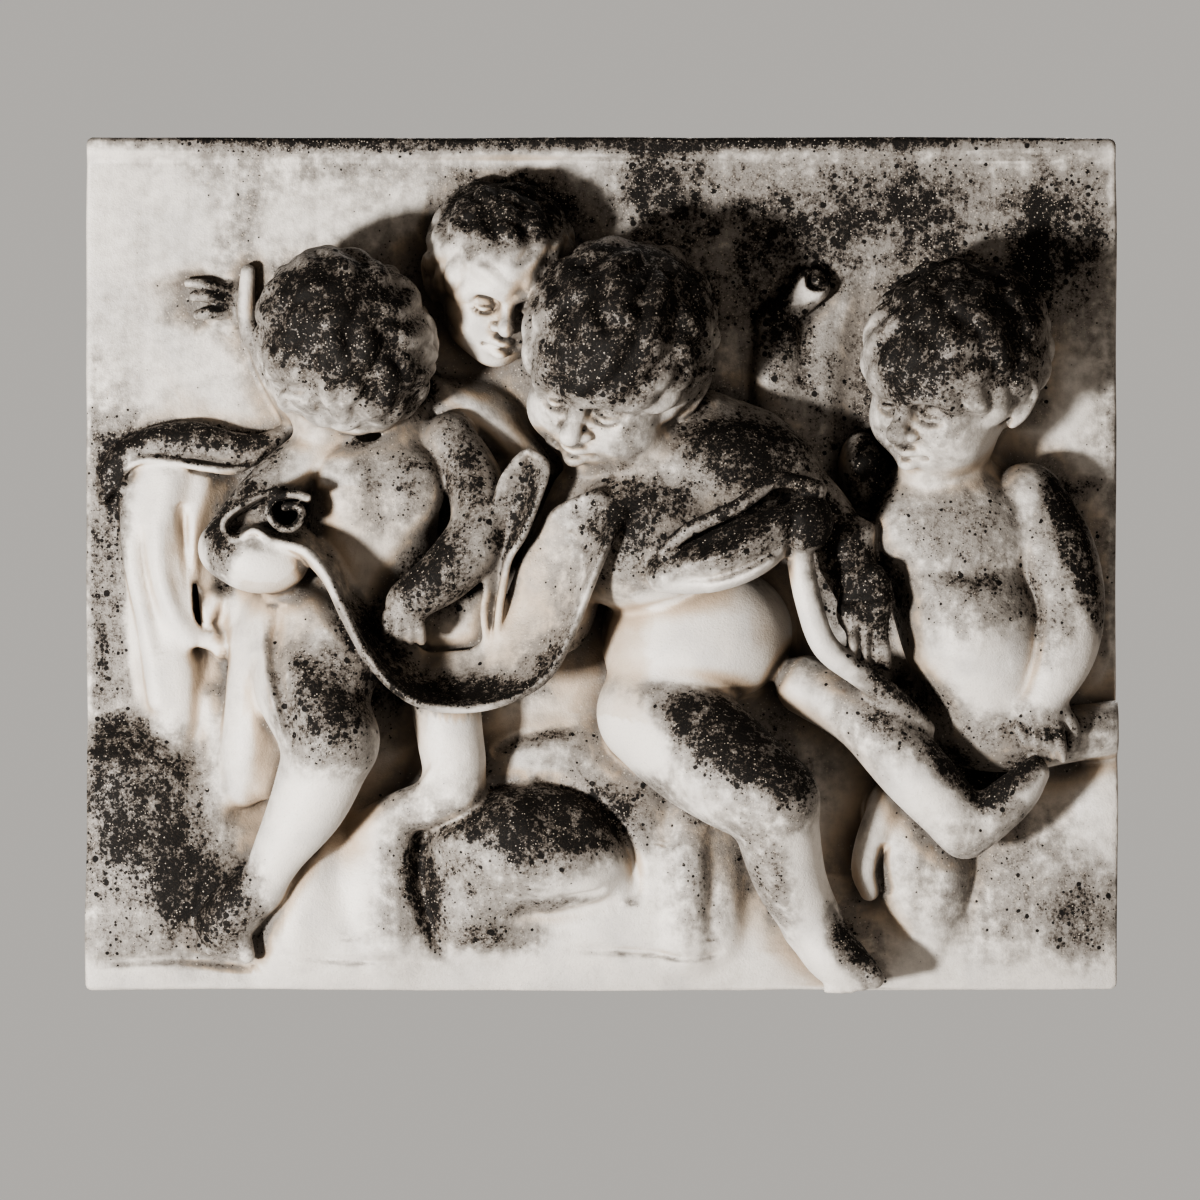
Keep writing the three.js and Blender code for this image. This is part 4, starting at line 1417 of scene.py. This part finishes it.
class NodeBench:
    """Lays out and links shader nodes in one tree."""

    def __init__(self, tree: bpy.types.NodeTree) -> None:
        """Works on a node tree."""
        self.tree = tree

    def add(self, kind: str, links: dict[str | int, object] | None = None,
            **settings: object) -> bpy.types.Node:
        """Adds a node.

        Args:
            kind: the node's type name.
            links: input name or number to the output socket that feeds it, or to a plain value.
            settings: properties of the node.

        Returns:
            The new node.
        """
        node = self.tree.nodes.new(kind)
        for name, value in settings.items():
            setattr(node, name, value)
        for name, value in (links or {}).items():
            if isinstance(value, bpy.types.NodeSocket):
                self.tree.links.new(value, node.inputs[name])
            else:
                node.inputs[name].default_value = value
        return node

    def maths(self, operation: str, a: object, b: object = 0.0,
              clamp: bool = False) -> bpy.types.NodeSocket:
        """A sum, product or other operation on two values."""
        return self.add("ShaderNodeMath", {0: a, 1: b}, operation=operation, use_clamp=clamp).outputs[0]

    def ramp(self, value: object, low: object, high: object,
             to: tuple[float, float] = (0.0, 1.0)) -> bpy.types.NodeSocket:
        """A smooth step of a value from low to high, onto a range."""
        links = {"Value": value, "From Min": low, "From Max": high, "To Min": to[0], "To Max": to[1]}
        return self.add("ShaderNodeMapRange", links, interpolation_type="SMOOTHSTEP").outputs["Result"]

    def centred(self, value: object, gain: float) -> bpy.types.NodeSocket:
        """A noise less its mean of one half, times a gain."""
        return self.maths("MULTIPLY", self.maths("SUBTRACT", value, 0.5), gain)

    def noise(self, where: object, scale: float, detail: float,
              rough: float = 0.55) -> bpy.types.NodeSocket:
        """Fractal noise from 0 to 1, with scale in waves per metre."""
        links = {"Vector": where, "Scale": scale, "Detail": detail, "Roughness": rough}
        return self.add("ShaderNodeTexNoise", links).outputs["Fac"]

    def mix(self, share: object, a: object, b: object) -> bpy.types.NodeSocket:
        """A colour between two colours.

        Args:
            share: how much of the second colour, from 0 to 1.
            a, b: the colours, as sockets or values.

        Returns:
            The mixed colour.
        """
        node = self.add("ShaderNodeMix", data_type="RGBA")
        for socket, value in zip((node.inputs["Factor"], node.inputs[6], node.inputs[7]), (share, a, b)):
            if isinstance(value, bpy.types.NodeSocket):
                self.tree.links.new(value, socket)
            else:
                socket.default_value = value
        return node.outputs[2]


def colour(r: float, g: float, b: float) -> tuple[float, float, float, float]:
    """An opaque colour."""
    return (r, g, b, 1.0)


@dataclass(frozen=True)
class WeatheredBiscuit:
    """Unglazed white porcelain that has stood out of doors: grey wash and black growth, with painted shade
    that is warm in the hollows and dark in the grooves.

    Attributes:
        white: the clean paste, and cool its greyer patches.
        warm: painted shade, a warm tint in the hollows, and deep the darker painted shade where they are
            deepest.
        wash: the grey film around the growth, and soot its darker part, also used as painted shade in narrow
            grooves.
        crust: the growth, and crust_light its dry parts.
        fleck: the specks where it has flaked off.
        roughness: of the clean paste, and crust_roughness of the growth.
    """

    white: tuple[float, float, float, float] = colour(0.80, 0.77, 0.73)
    cool: tuple[float, float, float, float] = colour(0.60, 0.59, 0.58)
    warm: tuple[float, float, float, float] = colour(0.50, 0.385, 0.275)
    deep: tuple[float, float, float, float] = colour(0.060, 0.042, 0.029)
    wash: tuple[float, float, float, float] = colour(0.235, 0.218, 0.200)
    soot: tuple[float, float, float, float] = colour(0.050, 0.037, 0.027)
    crust: tuple[float, float, float, float] = colour(0.006, 0.005, 0.0045)
    crust_light: tuple[float, float, float, float] = colour(0.026, 0.019, 0.014)
    fleck: tuple[float, float, float, float] = colour(0.58, 0.52, 0.45)
    roughness: float = 0.50
    crust_roughness: float = 0.78

    def material(self) -> bpy.types.Material:
        """Builds the material from the piece's attributes and noise on Object coordinates; its hollows and
        grooves are painted darker as shade.

        Returns:
            The material.
        """
        material = bpy.data.materials.new(SLOT)
        material.use_nodes = True
        tree = material.node_tree
        tree.nodes.clear()
        bench = NodeBench(tree)
        where = bench.add("ShaderNodeTexCoord").outputs["Object"]
        grime_and_shade, hollow, groove = (
            bench.add("ShaderNodeAttribute", attribute_name=mask.value).outputs["Fac"] for mask in Mask
        )
        broad = bench.noise(where, 26.0, 3.0)
        patch = bench.noise(where, 120.0, 4.0, 0.62)
        grit = bench.noise(where, 430.0, 3.0, 0.75)
        fine = bench.noise(where, 950.0, 2.0, 0.70)
        level = self._level(bench, where, grime_and_shade, patch)
        grainy = bench.maths("ADD", level, self._broken(bench, grime_and_shade, bench.centred(grit, 1.50)))
        film = bench.ramp(level, 0.0, 0.50)
        soot = bench.ramp(grainy, 0.45, 0.98)
        crust = bench.ramp(grainy, 0.86, 0.98)
        for scale, size in ((165.0, 0.54), (330.0, 0.58), (640.0, 0.58)):
            crust = bench.maths("MAXIMUM", crust, self._dots(bench, where, level, scale, size))
        # painted shade: the paste turns warm in the hollows and dark brown where they are deepest
        tone = self._paste_with_hollow_shade(bench, hollow, broad, fine)
        # painted shade: narrow grooves and creases darkened toward the soot colour
        painted_groove_shade = bench.maths("ADD", groove, bench.centred(patch, 0.30))
        tone = bench.mix(bench.ramp(painted_groove_shade, 0.32, 0.70, (0.0, 0.82)), tone, self.soot)
        tone = bench.mix(bench.maths("MULTIPLY", film, 0.90), tone, self.wash)
        tone = bench.mix(bench.maths("MULTIPLY", soot, 0.92), tone, self.soot)
        black = bench.mix(bench.ramp(fine, 0.46, 0.70), self.crust, self.crust_light)
        tone = bench.mix(crust, tone, black)
        flecks = bench.maths("MAXIMUM", self._flecks(bench, where, 640.0, 0.66),
                             self._flecks(bench, where, 340.0, 0.80))
        flecks = bench.maths("MULTIPLY", flecks, bench.ramp(film, 0.15, 0.7, (0.0, 0.75)))
        base = bench.mix(flecks, tone, self.fleck)
        rough = bench.ramp(crust, 0.0, 1.0, (self.roughness, self.crust_roughness))
        height = bench.maths("ADD", fine, bench.maths("MULTIPLY", grit, 1.6))
        bump = bench.add("ShaderNodeBump", {"Height": height, "Strength": 0.40, "Distance": 0.0006})
        links = {"Base Color": base, "Roughness": rough, "Normal": bump.outputs["Normal"], "IOR": 1.5}
        shader = bench.add("ShaderNodeBsdfPrincipled", links)
        bench.add("ShaderNodeOutputMaterial", {"Surface": shader.outputs["BSDF"]})
        return material

    def _level(self, bench: NodeBench, where: object, grime_and_shade: object, patch: object) -> object:
        """The growth with its painted shade in the hollows, broken up by patches and by upright streaks of
        rain.

        Args:
            bench: where the nodes are laid out.
            where: Object coordinates.
            grime_and_shade: the piece's grime.
            patch: a noise of patches.

        Returns:
            The growth at each place.
        """
        drawn = bench.add("ShaderNodeVectorMath", {0: where, 1: (1.0, 1.0, 0.12)}, operation="MULTIPLY")
        streak = bench.noise(drawn.outputs["Vector"], 75.0, 3.0, 0.6)
        uneven = bench.maths("ADD", bench.centred(patch, 1.20), bench.centred(streak, 0.70))
        return bench.maths("ADD", grime_and_shade, self._broken(bench, grime_and_shade, uneven))

    def _broken(self, bench: NodeBench, grime_and_shade: object, uneven: object) -> object:
        """An unevenness, in full where there is much grime and slight where there is little."""
        return bench.maths("MULTIPLY", uneven, bench.ramp(grime_and_shade, 0.05, 0.45, (0.25, 1.0)))

    def _dots(self, bench: NodeBench, where: object, level: object, scale: float, size: float) -> object:
        """Round spots of growth, one in each cell, wider at a higher level and left out at a low one.

        Args:
            bench: where the nodes are laid out.
            where: Object coordinates.
            level: the growth.
            scale: cells per metre.
            size: the widest spot's radius, in cells.

        Returns:
            1 in a spot and 0 outside.
        """
        cells = bench.add("ShaderNodeTexVoronoi", {"Vector": where, "Scale": scale, "Randomness": 1.0},
                          feature="F1")
        pick = bench.add("ShaderNodeSeparateColor", {0: cells.outputs["Color"]}).outputs[0]
        radius = bench.maths("SUBTRACT", bench.maths("MULTIPLY", level, size),
                             bench.maths("MULTIPLY", pick, 0.62))
        radius = bench.maths("MINIMUM", radius, 0.46)
        return bench.ramp(bench.maths("SUBTRACT", radius, cells.outputs["Distance"]), -0.03, 0.05)

    def _flecks(self, bench: NodeBench, where: object, scale: float, rare: float) -> object:
        """Small pale specks where the growth has flaked off, fewer where rare is nearer to 1.

        Args:
            bench: where the nodes are laid out.
            where: Object coordinates.
            scale: cells per metre.
            rare: the share of cells that have none.

        Returns:
            1 in a speck and 0 outside.
        """
        cells = bench.add("ShaderNodeTexVoronoi", {"Vector": where, "Scale": scale, "Randomness": 1.0},
                          feature="F1")
        pick = bench.add("ShaderNodeSeparateColor", {0: cells.outputs["Color"]}).outputs[1]
        radius = bench.maths("SUBTRACT", pick, rare)
        return bench.ramp(bench.maths("SUBTRACT", radius, cells.outputs["Distance"]), -0.04, 0.06)

    def _paste_with_hollow_shade(self, bench: NodeBench, hollow: object, broad: object, fine: object) -> object:
        """The paste's colour with painted shade: white with a cool mottling, and painted shade that is warm
        in hollows and brown where they are deep.

        Args:
            bench: where the nodes are laid out.
            hollow: the piece's hollows, where shade is painted.
            broad, fine: a wide and a fine noise.

        Returns:
            The paste's colour, with the painted shade of the hollows.
        """
        mottled = bench.mix(bench.ramp(broad, 0.42, 0.72, (0.0, 0.60)), self.white, self.cool)
        uneven = bench.maths("ADD", hollow, bench.centred(broad, 0.35))
        # painted shade: warm in the hollows, then dark brown in the deepest ones
        tone = bench.mix(bench.ramp(uneven, 0.10, 0.50, (0.0, 0.85)), mottled, self.warm)
        tone = bench.mix(bench.ramp(uneven, 0.42, 0.85, (0.0, 0.90)), tone, self.deep)
        return bench.mix(bench.ramp(fine, 0.56, 0.78, (0.0, 0.30)), tone, self.wash)


@dataclass
class Relief:
    """The casting: every group of forms pressed into one clay, skinned, thinned and dressed."""

    voxel: float = 1.4
    triangles: int = 192_000
    low: Point = (-318.0, -264.0, -26.0)
    high: Point = (318.0, 264.0, 126.0)
    thick: float = 22.0
    growth: Growth = field(default_factory=Growth)
    finish: WeatheredBiscuit = field(default_factory=WeatheredBiscuit)

    def clay(self) -> Clay:
        """All the forms, pressed into one block.

        Returns:
            The clay.
        """
        clay = Clay(self.low, self.high, self.voxel)
        for group in (Slab(), Rocks(), LeftDrapery(), BackBoy(), LeftBoy(), RightBoy(), Swag(),
                      CentreBoy()):
            group.press(clay)
            log.info("pressed %s", type(group).__name__)
        Slab().trim(clay)
        return clay

    def to_frame(self, places: Array) -> Array:
        """Clay places in the part's frame, in metres: y is minus the sum of the slab's thickness and w."""
        return np.stack([places[:, 0], -(self.thick + places[:, 2]), places[:, 1]], 1) * MM

    def to_clay(self, places: Array) -> Array:
        """Places in the part's frame as clay places."""
        p = places / MM
        return np.stack([p[:, 0], p[:, 2], -p[:, 1] - self.thick], 1)

    def mesh(self, clay: Clay) -> bpy.types.Mesh:
        """The clay's skin as a mesh in the part's frame.

        Args:
            clay: the finished clay.

        Returns:
            The mesh.
        """
        places, quads = clay.skin()
        mesh = bpy.data.meshes.new(PIECE)
        mesh.vertices.add(len(places))
        mesh.vertices.foreach_set("co", self.to_frame(places).astype(np.float32).ravel())
        mesh.loops.add(quads.size)
        mesh.loops.foreach_set("vertex_index", quads.astype(np.int32).ravel())
        mesh.polygons.add(len(quads))
        mesh.polygons.foreach_set("loop_start", np.arange(0, quads.size, 4, dtype=np.int32))
        mesh.update(calc_edges=True)
        mesh.validate()
        return mesh

    def thinned(self, piece: bpy.types.Object) -> None:
        """Collapses the mesh to the piece's triangle budget, most where it is flat.

        Args:
            piece: the object whose mesh is replaced.
        """
        faces = 2 * len(piece.data.polygons)
        thin = piece.modifiers.new("thin", "DECIMATE")
        thin.ratio = min(1.0, self.triangles / faces)
        graph = bpy.context.evaluated_depsgraph_get()
        mesh = bpy.data.meshes.new_from_object(piece.evaluated_get(graph))
        piece.modifiers.clear()
        old, piece.data = piece.data, mesh
        bpy.data.meshes.remove(old)
        mesh.name = PIECE

    def dress(self, piece: bpy.types.Object, clay: Clay) -> None:
        """Smooth shading, the growth attributes and the finish.

        Args:
            piece: the object to dress.
            clay: the clay that it was skinned from.
        """
        mesh = piece.data
        mesh.polygons.foreach_set("use_smooth", np.ones(len(mesh.polygons), bool))
        count = len(mesh.vertices)
        co, normal = np.empty(count * 3, np.float32), np.empty(count * 3, np.float32)
        mesh.vertices.foreach_get("co", co)
        mesh.vertex_normals.foreach_get("vector", normal)
        n = normal.reshape(-1, 3)
        facing = np.stack([n[:, 0], n[:, 2], -n[:, 1]], 1)
        for name, values in self.growth.masks(clay, self.to_clay(co.reshape(-1, 3)), facing).items():
            layer = mesh.attributes.new(name.value, "FLOAT", "POINT")
            layer.data.foreach_set("value", values.astype(np.float32))
        mesh.materials.clear()
        mesh.materials.append(self.finish.material())

    def build(self) -> bpy.types.Object:
        """Makes the piece, puts it on the body and in the node's place.

        Returns:
            The finished piece.
        """
        clay = self.clay()
        piece = bpy.data.objects.new(PIECE, self.mesh(clay))
        bpy.context.scene.collection.objects.link(piece)
        self.thinned(piece)
        self.dress(piece, clay)
        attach(piece, BODY)
        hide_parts(NODE)
        log.info("%s has %d triangles", piece.name, sum(len(p.vertices) - 2 for p in piece.data.polygons))
        return piece


@dataclass(frozen=True)
class Lamp:
    """A square studio lamp aimed at the relief's middle.

    Attributes:
        name: its name.
        place: where it stands, in metres.
        size: its side.
        power: in watts.
        tint: its colour.
    """

    name: str
    place: tuple[float, float, float]
    size: float
    power: float
    tint: tuple[float, float, float] = (1.0, 1.0, 1.0)

    def build(self) -> None:
        """Makes the lamp."""
        light = bpy.data.lights.new(self.name, "AREA")
        light.size, light.energy, light.color = self.size, self.power, self.tint
        lamp = bpy.data.objects.new(self.name, light)
        lamp.location = self.place
        lamp.rotation_euler = Vector(self.place).to_track_quat("Z", "Y").to_euler()
        bpy.context.scene.collection.objects.link(lamp)


@dataclass
class Studio:
    """The plain pale floor, the grey air, the lamps and a level camera square to the slab.

    Attributes:
        distance: from the camera to the slab's front.
        field: width of the view at the slab.
        aim: x and z that the camera looks at.
        floor_z: height of the floor, and floor_side its half side.
        air: the light from all round, and backdrop the plain colour that is seen behind.
        lamps: the key, low on the left, a wide weak fill on the right, and one behind for the back and
        the floor.
    """

    distance: float = 5.0
    field: float = 0.72
    aim: tuple[float, float] = (-0.001, -0.022)
    floor_z: float = -0.45
    floor_side: float = 0.9
    air: tuple[float, float, float] = (0.120, 0.101, 0.084)
    backdrop: tuple[float, float, float] = (0.40, 0.385, 0.365)
    lamps: tuple[Lamp, ...] = (
        Lamp("key", (-1.75, -2.35, -0.70), 0.30, 128.0, (1.0, 0.965, 0.92)),
        Lamp("fill", (1.30, -2.30, -0.10), 1.60, 7.0, (1.0, 0.93, 0.85)),
        Lamp("rear", (0.50, 1.80, 1.30), 1.60, 40.0, (1.0, 0.96, 0.92)),
    )

    def build(self) -> None:
        """Makes the whole studio."""
        self._floor()
        self._air()
        self._camera()
        for lamp in self.lamps:
            lamp.build()

    def _floor(self) -> None:
        """A square floor well below the relief."""
        a, z = self.floor_side, self.floor_z
        mesh = bpy.data.meshes.new("floor")
        mesh.from_pydata([(-a, -a, z), (a, -a, z), (a, a, z), (-a, a, z)], [], [(0, 1, 2, 3)])
        floor = bpy.data.objects.new("floor", mesh)
        paint = bpy.data.materials.new("pale_floor")
        paint.use_nodes = True
        shader = paint.node_tree.nodes["Principled BSDF"]
        shader.inputs["Base Color"].default_value = colour(0.86, 0.85, 0.83)
        shader.inputs["Roughness"].default_value = 0.8
        mesh.materials.append(paint)
        bpy.context.scene.collection.objects.link(floor)

    def _air(self) -> None:
        """An even, slightly warm light all round, and a plain pale backdrop."""
        world = bpy.data.worlds.new("air")
        world.use_nodes = True
        bench = NodeBench(world.node_tree)
        seen = bench.add("ShaderNodeLightPath").outputs["Is Camera Ray"]
        tone = bench.mix(seen, colour(*self.air), colour(*self.backdrop))
        bench.tree.links.new(tone, bench.tree.nodes["Background"].inputs["Color"])
        bpy.context.scene.world = world
        bpy.context.scene.view_settings.look = "AgX - High Contrast"

    def _camera(self) -> None:
        """A long lens, level, square to the slab."""
        lens = bpy.data.cameras.new("camera")
        lens.sensor_width = 36.0
        lens.lens = lens.sensor_width * self.distance / self.field
        lens.clip_end = 50.0
        camera = bpy.data.objects.new("camera", lens)
        camera.location = (self.aim[0], -self.distance - 22.0 * MM, self.aim[1])
        camera.rotation_euler = (math.radians(90.0), 0.0, 0.0)
        bpy.context.scene.collection.objects.link(camera)
        bpy.context.scene.camera = camera


def main() -> None:
    """Loads the frame and makes the relief and the studio."""
    logging.basicConfig(level=logging.INFO, format="%(message)s")
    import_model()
    Studio().build()
    Relief().build()


if __name__ == "__main__":
    main()
